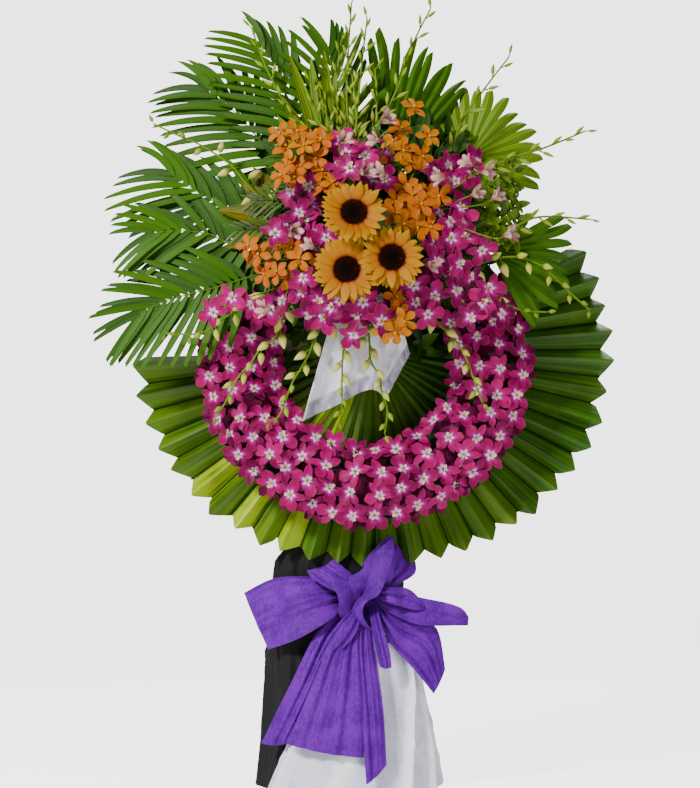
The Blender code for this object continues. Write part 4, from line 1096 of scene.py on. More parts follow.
size = add(
    stems, "ShaderNodeMapRange", {0: parameter["Factor"], 3: group["Root size"], 4: group["Tip size"]}
)
front = add(stems, "FunctionNodeAlignRotationToVector", {"Vector": (0, -1, 0)}, axis="Z")
rotation = add(
    stems, "FunctionNodeAlignRotationToVector", {"Rotation": front, "Vector": points_to}, axis="Y"
)
rotation = turned(rotation, (0, 1, 0), draw(stems, -1.2, 1.2, group["Seed"]))
buds = copies(points, template(group["Bud"]), rotation, size * draw(stems, 0.85, 1.12, group["Seed"]))
close_tree(group, stem, buds)

bud_skin, tree, shader = new_material("orchid_bud_skin", Roughness=0.45, Specular_IOR_Level=0.2)
along = layout_axes(tree)[1]
cream = blend(attribute(tree, "tone"), (0.32, 0.38, 0.02), (0.62, 0.56, 0.15))
green = blend(attribute(tree, "tone"), (0.09, 0.18, 0.001), (0.22, 0.3, 0.004))
fresh = ramp(attribute(tree, "part"), 0.4, 0.6) * 0.7
paint(
    shader,
    green,
    (ramp(along, 0.05, 0.5), cream),
    (ramp(attribute(tree, "near tip"), 0.45, 0.95), green),
    (fresh, (0.15, 0.23, 0.001)),
    (ramp(attribute(tree, "part"), 1.4, 1.6), (0.1, 0.18, 0.002)),
)


def add_stalk(build, path, radius, tip):
    """A round stalk through points, laid out across XZ."""
    last = len(path) - 1

    def spot(across, along):
        around = Vector((cos(tau * across), 0, sin(tau * across)))
        return Vector(path[round(along * last)]) + (radius + (tip - radius) * along) * around

    add_sheet(build, 5, last, spot, 2.0)


def bud_spot(across, along):
    """A pointed drop that bends a little forward."""
    radius = 0.0080 * sin(pi * along**0.8) ** 0.8 * (1 - 0.25 * along)
    middle = Vector((0, 0.008 + 0.027 * along, 0.003 + 0.005 * along**2))
    return middle + radius * Vector((cos(tau * across), 0, sin(tau * across)))


build = new_build()
path = ((0, -0.009, -0.008), (0, -0.003, -0.003), (0, 0.003, 0.0016), (0, 0.010, 0.0032))
add_stalk(build, path, 0.0011, 0.0014)
add_sheet(build, 8, 7, bud_spot)
bud = make("bud", build, bud_skin)
build = new_build()
add_stalk(build, ((0, 0, 0), (0, 0.005, 0.0022), (0, 0.010, 0.0032)), 0.0018, 0.0020)
start = Vector((0, 0.001, 0.001))
slim = Matrix.Diagonal((0.6, 1.05, 0.6))
add_sheet(build, 6, 7, lambda across, along: start + slim @ bud_spot(across, along), 1.0)
slim_bud = make("slim_bud", build, bud_skin)
for name, base, spacing, hang, bare, paths in (
    ("bud_spikes_top", (0, 1290), 0.023, 0.0, 0.30, (
        ((-15, 1450), (-5, 1643)),
        ((12, 1470), (28, 1612)),
        ((-35, 1440), (-28, 1560)),
        ((85, 1450), (125, 1560), (160, 1630)),
        ((-120, 1400), (-180, 1500), (-214, 1590)),
        ((-75, 1400), (-92, 1500)),
        ((5, 1400), (-6, 1515)),
        ((45, 1400), (45, 1505)),
        ((-50, 1380), (-62, 1455)),
    )),
    ("bud_spikes_right", (170, 1240), 0.026, 0.15, 0.42, (
        ((225, 1390), (275, 1465), (325, 1530)),
        ((310, 1310), (400, 1340), (485, 1375)),
        ((300, 1170), (390, 1195), (495, 1190)),
    )),
    ("bud_spike_left", (-170, 1215), 0.038, 0.6, 0.15, (
        ((-225, 1265), (-260, 1305), (-320, 1345), (-360, 1362), (-420, 1390)),
    )),
    ("bud_spray_hanging_left", (-130, 1040), 0.026, 0.8, 0.30, (
        ((-220, 1015), (-290, 970), (-325, 950), (-395, 950)),
        ((-160, 950), (-195, 920), (-215, 890), (-245, 855), (-270, 805), (-290, 775)),
    )),
    ("bud_spray_hanging_middle", (0, 1030), 0.024, 0.8, 0.22, (
        ((-70, 960), (-95, 905), (-115, 870), (-130, 845), (-155, 780), (-180, 765)),
        ((-20, 930), (-25, 860), (-25, 800), (-30, 765)),
        ((30, 960), (35, 895), (55, 860), (58, 830), (70, 790), (65, 740)),
    )),
    ("bud_spray_hanging_right", (155, 1065), 0.027, 0.6, 0.30, (
        ((315, 1110), (390, 1095), (420, 1070), (455, 1035), (495, 1000)),
        ((215, 1055), (270, 1035), (305, 1020), (350, 1000), (405, 995)),
        ((170, 985), (210, 940), (235, 900), (250, 860), (270, 805)),
    )),
):
    start = seen_at(*base, -0.165)
    root = block_root(start, -0.165)
    paths = [[root, start, *(seen_at(*spot, -0.165) for spot in path)] for path in paths]
    sprays = grow(name.replace("bud_", "stems_"), lines("stems", paths), stems, {
        "Bud": slim_bud if hang < 0.2 else bud,
        "Angle": 0.40 if hang < 0.2 else 0.8,
        "Root size": 1.1 if hang < 0.2 else 1.38,
        "Tip size": 0.8 if hang < 0.2 else 0.6,
        "Stem": 0.0036 if hang < 0.2 else 0.0026,
        "Spacing": spacing,
        "Bare": bare,
        "Hang": hang,
        "Seed": len(name),
        "Material": bud_skin,
    })
    hand_in(sprays, "orchid_bud", name)


# Orchid bunches of the spray: orange Mokara blooms with five rounded petals, and magenta Dendrobium
# blooms, each on its own stalk out of a hole in the block's front.
stalks, group = new_tree("stalks", {
    "Root": 0.0022,
    "Tip": 0.0012,
})
close_tree(group, tapered(rounded(group["Geometry"], 0.012), group["Root"], group["Tip"]))

orange, tree, shader = new_material("orange_orchid_petal", Roughness=0.5, Specular_IOR_Level=0.12)
along = layout_axes(tree)[1]
speckle = grain(on_sheet(tree), 9.0, (1.0, 1.4, 1.0), 2.0)
paint(
    shader,
    (0.38, 0.08, 0.0),
    (attribute(tree, "tone"), (0.42, 0.14, 0.0)),
    (ramp(along, 0.35, 0.0), (0.42, 0.13, 0.0)),
    (ramp(speckle, 0.62, 0.7) * 0.55, (0.24, 0.012, 0.0)),
    (ramp(attribute(tree, "part"), 0.4, 0.6), (0.38, 0.05, 0.0)),
    (ramp(attribute(tree, "part"), 1.4, 1.6), (0.6, 0.36, 0.03)),
)


def mokara(name, finish, seed):
    """A Mokara bloom: five rounded petals, a short lip and a column."""
    chance = random.Random(seed)
    build = new_build()
    for turn, length, width in (
        (0.0, 0.024, 0.014), (1.20, 0.023, 0.015), (-1.20, 0.023, 0.015), (2.45, 0.025, 0.015),
        (-2.45, 0.025, 0.015),
    ):
        lean = chance.uniform(-0.12, 0.12)
        curl = chance.uniform(-0.003, 0.006)
        add_petal(build, turn + lean, length, width, 0.62, 0.002, curl, 0.2, 0.0012)
    add_petal(build, pi, 0.010, 0.007, 0.6, 0.006, 0.003, 0.5, 0.0, 1.0, 4, 4)
    add_knob(build, (0, 0.001, 0.004), 0.0021, 1.5, 2.0)
    return make(name, build, finish, 0.0005)


mokaras = [mokara(f"mokara_kind_{number}", orange, number) for number in range(3)]
sunflower_spots = ((0, 1205, -0.330), (-15, 1085, -0.295), (80, 1110, -0.315))
taken = [(seen_at(*spot), 0.062) for spot in sunflower_spots]


def crowded(place, reach):
    """Whether a bloom here would stand in a flower that is already placed."""
    for other, size in taken:
        apart = Vector((place.x - other.x, place.z - other.z)).length
        if abs(place.y - other.y) < 0.012 and apart < 0.6 * (reach + size):
            return True
    return False


chance = random.Random(33)
sorts = {
    "orange": (mokaras, orange, "orange_petal", -0.250, 0.023),
    "magenta": (orchids, magenta, "magenta_petal", -0.232, 0.027),
}
for name, hole, spots in (
    ("orange_orchids_upper_left", (-0.095, 0.300), (
        (-155, 1370), (-121, 1373), (-93, 1362), (-70, 1358), (-143, 1342), (-106, 1345), (-78, 1319),
        (-141, 1304), (-111, 1302), (-66, 1291), (-123, 1280), (-151, 1282),
    )),
    ("orange_orchids_left", (-0.105, 0.200), (
        (-222, 1135), (-200, 1117), (-155, 1136), (-128, 1130), (-115, 1107), (-186, 1075), (-162, 1079),
        (-132, 1068), (-80, 1086),
    )),
    ("orange_orchids_upper_right", (0.070, 0.305), (
        (125, 1424), (98, 1381), (157, 1364), (85, 1353), (104, 1336), (119, 1312), (143, 1323), (44, 1304),
    )),
    ("orange_orchids_right", (0.085, 0.255), (
        (108, 1259), (123, 1240), (157, 1244), (179, 1240), (89, 1229), (141, 1222), (89, 1203),
        (119, 1199), (104, 1180), (138, 1173), (160, 1173), (-62, 1263), (-44, 1266),
    )),
    ("orange_orchids_lower", (0.055, 0.185), (
        (87, 1027), (91, 997), (106, 977), (66, 957), (87, 955),
    )),
    ("magenta_orchids_top", (-0.020, 0.312), (
        (-27, 1349), (-16, 1328), (7, 1325), (24, 1322), (-31, 1300), (-8, 1297), (-46, 1283), (40, 1276),
        (66, 1274), (74, 1335), (146, 1304),
    )),
    ("magenta_orchids_left", (-0.105, 0.250), (
        (-132, 1248), (-91, 1222), (-94, 1259), (-140, 1170), (-102, 1192), (-87, 1161), (-82, 1135),
        (-57, 1152), (-115, 1205), (-165, 1160),
    )),
    ("magenta_orchids_right", (0.112, 0.290), (
        (198, 1304), (172, 1285), (213, 1270), (254, 1311), (247, 1289), (181, 1203), (202, 1184),
        (228, 1191), (235, 1150), (170, 1139), (269, 1124), (205, 1150), (225, 1215),
    )),
    ("magenta_orchids_lower_right", (0.112, 0.185), (
        (198, 1079), (243, 1068), (149, 1064), (127, 1050), (130, 1015), (222, 1095), (175, 1100),
        (285, 1045), (245, 985), (310, 990), (170, 1030), (215, 1040), (270, 1015), (155, 990),
    )),
    ("magenta_orchids_lower_left", (-0.045, 0.180), (
        (-125, 1049), (-110, 1036), (-106, 1066), (-177, 1000), (-93, 993), (-61, 985), (-46, 1004),
        (-76, 1019), (33, 997), (55, 1023), (6, 991), (-12, 1004), (59, 978), (-1, 948), (-255, 1025),
        (-295, 995), (-150, 1020), (-215, 1010), (20, 1015), (-30, 1020),
    )),
):
    kinds, finish, slot, depth, reach = sorts[name.split("_")[0]]
    places = []
    paths = []
    root = Vector((hole[0], -0.17, hole[1]))
    mouth = Vector((hole[0], -0.212, hole[1]))
    for spot in spots:
        forward = depth
        place = seen_at(*spot, forward)
        while forward > -0.36 and crowded(place, reach):
            forward -= 0.004
            place = seen_at(*spot, forward)
        taken.append((place, reach))
        out = Vector((place.x - 0.01, 0, place.z - 0.29))
        facing = Vector((chance.uniform(-0.55, 0.55), -1, chance.uniform(-0.4, 0.5))) + 1.8 * out
        facing.normalize()
        roll = chance.uniform(-pi, pi)
        places.append((place, facing, roll, chance.uniform(1.05, 1.25), chance.uniform(0, 1)))
        neck = place - facing * 0.015
        paths.append([root, mouth, root.lerp(neck, 0.7) + out * 0.05, neck, place])
    blooms = scatter(name.replace("orchids", "blooms"), places, kinds, finish)
    hand_in(blooms, slot, name)
    stalk = grow(name.replace("orchids", "stalks"), lines("stalks", paths), stalks, {"Material": bud_skin})
    hand_in(stalk, "orchid_bud", name)


# Half-open Dendrobium blooms among the magenta ones, seen from the side: cream sepals with pink tips,
# each on a stalk out of the same holes as the bunch around it.
sepal, tree, shader = new_material("half_open_sepal", Roughness=0.5, Specular_IOR_Level=0.12)
across, along = layout_axes(tree)
paint(
    shader,
    (0.24, 0.26, 0.04),
    (ramp(along, 0.0, 0.45), (0.52, 0.36, 0.27)),
    (ramp(along + off_middle(across), 1.0, 1.7), (0.38, 0.02, 0.16)),
    (ramp(attribute(tree, "part"), 0.4, 0.6), (0.36, 0.004, 0.13)),
)
half_open = []
fifth_turn = 1.2566
for number in range(3):
    build = new_build()
    for step in range(5):
        turn = fifth_turn * step + chance.uniform(-0.15, 0.15)
        length = chance.uniform(0.012, 0.018)
        add_petal(build, turn, length, 0.0135, 0.55, 0.024, 0.002, -0.3, 0.0012)
    add_petal(build, pi, 0.009, 0.008, 0.6, 0.015, 0.003, 0.6, 0.0006, 1.0, 4, 4)
    add_knob(build, (0, 0, 0.001), 0.0034, 1.6, 2.0)
    half_open.append(make(f"half_open_kind_{number}", build, sepal, 0.0005))
places = []
paths = []
for spot, turn in (
    ((61, 1394), 0.5), ((53, 1355), -0.6), ((248, 1303), -0.8), ((270, 1289), 0.9), ((248, 1241), 0.7),
    ((292, 1233), 0.9), ((15, 1285), 0.5), ((63, 1281), -0.4), ((317, 1155), 0.9), ((191, 1277), -0.8),
    ((155, 1096), 0.6), ((-130, 1168), 0.3), ((-84, 1130), -0.6), ((-176, 1000), -0.7), ((-25, 1350), 0.2),
):
    place = seen_at(*spot, -0.285)
    facing = Vector((turn, -0.55, chance.uniform(-0.3, 0.5))).normalized()
    places.append((place, facing, chance.uniform(-pi, pi), chance.uniform(1.0, 1.25), chance.uniform(0, 1)))
    hole = (0.112, 0.290) if spot[0] > 100 else (-0.105, 0.250) if spot[0] < -80 else (-0.020, 0.312)
    root = Vector((hole[0], -0.17, hole[1]))
    neck = place - facing * 0.02
    paths.append([root, Vector((hole[0], -0.212, hole[1])), root.lerp(neck, 0.7), neck, place])
bunches = ("magenta_orchids_top", "magenta_orchids_left", "magenta_orchids_right")
blooms = scatter("half_open_blooms", places, half_open, sepal)
hand_in(blooms, "magenta_petal", *bunches)
stalk = grow("half_open_stalks", lines("stalks", paths), stalks, {"Material": bud_skin})
hand_in(stalk, "orchid_bud", *bunches)


# Sunflowers: three heads on stems in the block's front. Three rings of pointed rays stand round a domed
# disc of tiny florets, which lie in spirals, with green bracts and a receptacle behind.
rays, group = new_tree("ray florets", {
    "Ray": "Object",
    "Count": 19,
    "Layers": 3,
    "Root": 0.021,
    "Size": 0.046,
    "Cup": 0.30,
    "Seed": 1,
})
total = group["Count"] * group["Layers"]
points = add(rays, "GeometryNodePoints", {"Count": total})
number = add(rays, "GeometryNodeInputIndex")
layer = maths("FLOOR", number / group["Count"])
angle = number + layer * 0.37
angle = angle + draw(rays, -0.16, 0.16, group["Seed"])
angle = angle / group["Count"] * tau
x = maths("COSINE", angle) * group["Root"]
y = maths("SINE", angle) * group["Root"]
place = vector(x, y, layer * -0.0022)
points = store(moved(points, place), "tone", draw(rays, 0.0, 1.0, group["Seed"]))
spin = add(rays, "FunctionNodeAxisAngleToRotation", {"Axis": (0, 0, 1), "Angle": angle - pi / 2})
lift = layer * -0.16 + group["Cup"]
spin = turned(spin, (1, 0, 0), lift + draw(rays, -0.12, 0.12, group["Seed"]))
spin = turned(spin, (0, 1, 0), draw(rays, -0.3, 0.3, group["Seed"]))
size = group["Size"] * draw(rays, 0.8, 1.06, group["Seed"])
ring = copies(points, template(group["Ray"]), spin, size)
close_tree(group, ring)

head, group = new_tree("seed head", {
    "Floret": "Object",
    "Count": 420,
    "Radius": 0.029,
    "Height": 0.007,
    "Seed": 1,
})
points = add(head, "GeometryNodePoints", {"Count": group["Count"]})
number = add(head, "GeometryNodeInputIndex")
share = maths("SQRT", (number + 0.5) / group["Count"])
angle = number * golden_angle
spread = share * group["Radius"]
hump_height = 1 - share ** 4
x = maths("COSINE", angle) * spread
y = maths("SINE", angle) * spread
place = vector(x, y, hump_height * group["Height"])
points = store(moved(points, place), "tone", draw(head, 0.0, 1.0, group["Seed"]))
points = store(points, "out", share)
spin = add(head, "FunctionNodeAxisAngleToRotation", {"Axis": (0, 0, 1), "Angle": angle})
spin = turned(spin, (0, 1, 0), share * 0.7 + draw(head, -0.2, 0.2, 3))
size = draw(head, 0.8, 1.2, group["Seed"]) * (share * 0.5 + 0.7)
florets = copies(points, template(group["Floret"]), spin, size)
close_tree(group, florets, group["Geometry"])

ray_skin, tree, shader = new_material("sunflower_ray_skin", Roughness=0.55, Specular_IOR_Level=0.12)
along = layout_axes(tree)[1]
grooves = grain(on_sheet(tree), 1.0, (11.0, 0.6, 1.0), 2.0)
paint(
    shader,
    (0.31, 0.098, 0.0),
    (attribute(tree, "tone"), (0.36, 0.15, 0.0)),
    (ramp(along, 0.45, 0.0), (0.27, 0.03, 0.0)),
    (ramp(along, 0.5, 1.0), (0.4, 0.195, 0.0)),
    (ramp(grooves, 0.48, 0.7) * 0.7, (0.28, 0.05, 0.0)),
)
bump(shader, grooves, 0.5, 0.0006)
seed_skin, tree, shader = new_material("sunflower_floret_skin", Roughness=0.8, Specular_IOR_Level=0.05)
out = attribute(tree, "out")
paint(
    shader,
    (0.016, 0.002, 0.0),
    (attribute(tree, "tone"), (0.062, 0.01, 0.0)),
    (ramp(out, 0.52, 0.34), (0.004, 0.002, 0.001)),
    (ramp(out, 0.86, 0.98) * attribute(tree, "tone"), (0.24, 0.07, 0.004)),
)
build = new_build()
add_blade(build, 1.0, 0.40, 0.50, -0.10, 0.14, 4, 8, 0.05, 0.9)
ray = make("ray", build, ray_skin, 0.008)
build = new_build()
add_blade(build, 1.0, 0.42, 0.35, 0.2, -0.10, 2, 6)
bract = make("bract", build, frond_skin, 0.02)
build = new_build()
add_sheet(build, 5, 3, lambda across, along: Vector((
    0.00085 * (1 - along**2) * cos(tau * across),
    0.00085 * (1 - along**2) * sin(tau * across),
    0.0032 * along,
)))
floret = make("floret", build, seed_skin)
build = new_build()
add_sheet(build, 32, 5, lambda across, along: Vector((
    0.0295 * along * cos(-tau * across), 0.0295 * along * sin(-tau * across), 0.0065 * (1 - along**4)
)))
dish = make("dish", build, seed_skin)
for number, (aside, lift, size, hole) in enumerate((
    (0.02, 0.25, 0.048, (0.0, 0.285)),
    (-0.10, 0.0, 0.050, (-0.03, 0.225)),
    (0.08, 0.0, 0.045, (0.045, 0.235)),
)):
    node = f"sunflower_{number + 1}"
    facing = Vector((aside, -1, lift)).normalized()
    pose = Matrix.Translation(seen_at(*sunflower_spots[number]))
    pose = pose @ facing.to_track_quat("Z", "Y").to_matrix().to_4x4()
    blank = bpy.data.meshes.new("blank")
    petals = grow(f"sunflower_rays_{number + 1}", blank, rays, {
        "Ray": ray, "Seed": number + 4, "Size": size, "Material": ray_skin,
    }, face @ pose)
    hand_in(petals, "sunflower_ray", node)
    blank = bpy.data.meshes.new("blank")
    bracts = grow(f"sunflower_bracts_{number + 1}", blank, rays, {
        "Ray": bract,
        "Count": 13,
        "Layers": 2,
        "Root": 0.017,
        "Size": 0.034,
        "Cup": -0.05,
        "Seed": number + 7,
        "Material": frond_skin,
    }, face @ pose @ Matrix.Translation((0, 0, -0.008)))
    hand_in(bracts, "feather_palm_leaf", node)
    seeds = grow(f"sunflower_florets_{number + 1}", dish.data, head, {
        "Floret": floret, "Seed": number + 1, "Material": seed_skin,
    }, face @ pose)
    hand_in(seeds, "sunflower_disc", f"sunflower_disc_{number + 1}")
    build = new_build()
    add_sheet(build, 24, 6, lambda across, along: pose @ Vector((
        (0.004 + 0.024 * (1 - along) ** 0.6) * cos(tau * across),
        (0.004 + 0.024 * (1 - along) ** 0.6) * sin(tau * across),
        -0.002 - 0.016 * along,
    )))
    cup = make(f"sunflower_back_{number + 1}", build, frond_skin, matrix=face)
    hand_in(cup, "feather_palm_leaf", node)
    neck = pose @ Vector((0, 0, -0.017))
    path = [Vector((hole[0], -0.17, hole[1])), Vector((hole[0], -0.215, hole[1])), neck]
    stem = grow(f"sunflower_stem_{number + 1}", lines("stem", [path]), stalks, {
        "Root": 0.0042, "Tip": 0.0040, "Material": frond_skin,
    })
    hand_in(stem, "feather_palm_leaf", node)


# Paper: a sheet of stiff lilac-white wrapping paper, held under the foam block by its upper edge. It
# hangs before the ring's hole in a few soft folds, with a crumpled grey-lilac hem.
paper, tree, shader = new_material("wrapping_paper", Roughness=0.6)
along = layout_axes(tree)[1]
crumple = grain(on_sheet(tree), 7.0, (3.0, 1.0, 1.0), 5.0)
paint(
    shader,
    (0.72, 0.7, 0.78),
    (ramp(along, 0.86, 0.89), blend(ramp(crumple, 0.4, 0.62), (0.24, 0.22, 0.29), (0.48, 0.45, 0.53))),
)
bump(shader, crumple, 0.5, 0.002)
hem = (
    (-108, 765), (-70, 785), (-30, 802), (5, 822), (40, 833), (68, 820), (88, 852), (106, 885), (118, 908),
)


def along_keys(keys, share):
    """The point at this share of a smooth line through evenly spread keys."""
    place = min(max(share, 0.0), 0.9999) * (len(keys) - 1)
    first = int(place)
    share = place - first
    a = Vector(keys[max(first - 1, 0)])
    b = Vector(keys[first])
    c = Vector(keys[first + 1])
    d = Vector(keys[min(first + 2, len(keys) - 1)])
    return b + 0.5 * share * (c - a + share * (2 * a - 5 * b + 4 * c - d + share * (3 * (b - c) + d - a)))


def paper_spot(across, along):
    low = along_keys(hem, across)
    low = seen_at(low.x, low.y, -0.128 - 0.010 * cos(tau * 4 * across))
    high = Vector((0.09 * (across - 0.5), -0.138, 0.1645))
    place = high + (low - high) * along
    crease = noise.noise(Vector((9 * across, 5 * along, 2.0)))
    crease += 0.5 * noise.noise(Vector((22 * across, 14 * along, 5.0)))
    place.y += 0.012 * crease * along - 0.010 * sin(pi * along)
    return place


build = new_build()
add_sheet(build, 60, 50, paper_spot)
sheet = make("wrapping_paper_sheet", build, paper, 0.0006, face)
hand_in(sheet, "white_paper", "paper_sheet")


# Black cloth: a sleeve of plain woven cloth round the tripod. It is gathered and stapled round the foot
# of the head block, hangs in folds and stands open at the floor.
def between(value, keys):
    """Straight-line reading of a short list of positions and sizes."""
    for (a, low), (b, high) in zip(keys, keys[1:]):
        if value <= b:
            return low + (high - low) * max(0.0, value - a) / (b - a)
    return keys[-1][1]


def power(value, exponent):
    return abs(value) ** exponent * (1.0 if value > 0 else -1.0)


def skirt_oval(height):
    """Middle, half sizes and squareness of the hanging cloth at this height."""
    left = between(height, ((0.0, -0.205), (0.10, -0.192), (0.24, -0.182), (0.47, -0.165), (0.59, -0.065)))
    right = between(height, ((0.0, 0.168), (0.10, 0.152), (0.24, 0.122), (0.33, 0.104), (0.59, 0.105)))
    front = between(height, ((0.0, -0.130), (0.33, -0.032), (0.43, 0.004), (0.52, 0.020), (0.59, 0.031)))
    back = between(height, ((0.0, 0.250), (0.43, 0.190), (0.59, 0.120)))
    square = 0.8 - 0.2 * min(1.0, height / 0.4)
    return (left + right) / 2, (front + back) / 2, (right - left) / 2, (back - front) / 2, square


def skirt_point(angle, height, outward=0.0):
    """A point of the hanging cloth, with broad folds that fade upwards and slanting creases on them."""
    middle_x, middle_y, wide, deep, square = skirt_oval(height)
    fade = max(0.0, 1.0 - height / 0.62)
    spot = Vector((sin(angle), cos(angle), 0.0))
    outward += 0.004 * fade * sin(8 * angle + 1.0)
    outward += 0.009 * fade**0.5 * noise.noise(2.4 * spot + Vector((0, 0, 3.4 * height)))
    slant = noise.noise(3.2 * spot + Vector((6 * height, 2.0, 8 * height)))
    outward += 0.010 * (fade * (1 - fade)) ** 0.5 * (0.22 - min(abs(slant), 0.22)) / 0.22
    return Vector((
        middle_x + (wide + outward) * power(sin(angle), square),
        middle_y - (deep + outward) * power(cos(angle), square),
        height,
    ))


def black_spot(across, along):
    angle = tau * across
    height = 0.0015 + 0.665 * along
    ripple = 0.0025 * noise.noise(Vector((14 * sin(angle), 14 * cos(angle), 2 * height)))
    place = skirt_point(angle, min(height, 0.59), ripple)
    if height > 0.59:
        share = (height - 0.59) / (0.6665 - 0.59)
        half = 0.0525
        flat = Vector((half * power(sin(angle), 0.35), 0.0402 - 0.0265 * power(cos(angle), 0.35), 0))
        flat += Vector((sin(angle), -cos(angle), 0)) * 0.0015 * (1 + sin(24 * angle))
        collar = face @ Vector((flat.x, flat.y, -0.275 + 0.06 * max(0.0, (share - 0.35) / 0.65)))
        place = place.lerp(collar, min(1.0, share / 0.35))
    return place


black, tree, shader = new_material("black_woven_cloth", Roughness=0.8, Specular_IOR_Level=0.2)
position = on_object(tree)
threads = grain(position, 700, (1.0, 1.0, 0.4), 2.0)
paint(shader, (0.004, 0.0035, 0.004), (threads, (0.016, 0.014, 0.016)))
bump(shader, threads, 0.3, 0.0004)
build = new_build()
add_sheet(build, 240, 70, black_spot)
sleeve = make("black_sleeve", build, black, 0.0008)
hand_in(sleeve, "black_cloth", "black_skirt")


# White cloth: a sheet of embossed non-woven cloth, tied in with the bow and spread over the front of
# the black cloth down to the floor. It falls in long narrow folds, each with its middle, its half width
# and its height here.
white_folds = ((0.07, 0.025, 0.011), (0.30, 0.07, 0.006), (0.58, 0.022, 0.014), (0.76, 0.030, 0.011))


def white_spot(across, along):
    height = 0.0015 + 0.4185 * (1 - along)
    outward = between(height, ((0.0, 0.015), (0.30, 0.006), (0.42, 0.0016)))
    centre, middle_y, wide, deep, square = skirt_oval(height)
    wide += outward
    left = between(height, ((0.0, -0.175), (0.10, -0.135), (0.30, -0.045), (0.42, 0.005)))
    right = between(height, ((0.0, 0.200), (0.145, 0.170), (0.24, 0.140), (0.33, 0.115), (0.42, 0.050)))
    first = asin(max(-1.0, power((left - centre) / wide, 1 / square)))
    last = asin(min(1.0, power((right - centre) / wide, 1 / square)))
    angle = first + (last - first) * across
    open_out = min(1.0, 2.5 * along)
    for middle, half, tall in white_folds:
        bend = middle + 0.05 * along * (middle - 0.45)
        outward += tall * open_out * exp(-(((across - bend) / half) ** 2))
    outward += 0.003 + 0.002 * open_out * noise.noise(Vector((9 * across, 2 * along, 3.0)))
    return skirt_point(angle, height, outward)


def non_woven(name, thin, thick, dark, folds=()):
    """Pressed fibres with a grid of small embossed dots, painted shade by the knot, painted highlights on
    folds.
    """
    made, tree, shader = new_material(name, Roughness=0.6, Specular_IOR_Level=0.15)
    across, along = layout_axes(tree)
    layout = on_object(tree)
    fibres = grain(layout, 240, (1.0, 1.0, 0.5), 5.0)
    patches = grain(layout, 26, (1.0, 1.0, 1.0), 4.0)
    light = patches * 0.5 + fibres * 0.5
    part = attribute(tree, "part")
    layers = [
        (ramp(light, 0.36, 0.62), thick),
        # painted shade: the sheets darken towards their gathered end at the knot, except the ruffles
        (ramp(along, 0.55, 0.02) * ramp(part, 19.0, 18.0), dark),
        # the ruffles (part 20 and on) are tinted 30% towards the dark colour all over
        (ramp(part, 18.0, 19.0) * 0.3, dark),
    ]
    for middle, half, tall in folds:
        # painted highlight: a near-white streak along the ridge of each fold
        layers.append((ramp(abs(across - middle), 0.045, 0.0) * 0.9, (0.97, 0.97, 1.0)))
    paint(shader, thin, *layers, (ramp(off_middle(across), 0.955, 0.99) * 0.6, thick))
    dots = add(tree, "ShaderNodeTexVoronoi", {"Vector": layout, "Scale": 330.0, "Randomness": 0.25})
    height = fibres * 0.4 + ramp(dots["Distance"], 0.1, 0.45)
    bump(shader, height, 0.25, 0.0005)
    return made


# The white cloth's fold table also places a painted highlight along each fold's ridge.
white = non_woven(
    "white_non_woven", (0.60, 0.60, 0.74), (0.76, 0.76, 0.87), (0.58, 0.58, 0.70), white_folds
)
build = new_build()
add_sheet(build, 130, 70, white_spot)
drape = make("white_drape", build, white, 0.0006)
hand_in(drape, "white_cloth", "white_skirt")


# Bow: a wide purple non-woven ribbon, tied round the cloths in a knot. Its loops and long tails spread
# from the knot in folds, and lie before the cloth.
# The purple ribbon gets the painted shade towards the knot and no fold highlights.
purple = non_woven("purple_non_woven", (0.068, 0.0, 0.200), (0.135, 0.004, 0.340), (0.018, 0.0, 0.085))


def cloth_front(x, height):
    """How far forward the cloths come here, folds and all."""
    middle_x, middle_y, wide, deep, square = skirt_oval(max(0.0, height))
    outward = 0.025 * max(0.0, 1 - height / 0.55) + 0.004
    turn = min(0.97, abs(x - middle_x) / (wide + outward)) ** (1 / square)
    return middle_y - (deep + outward) * sqrt(1 - turn * turn) ** square


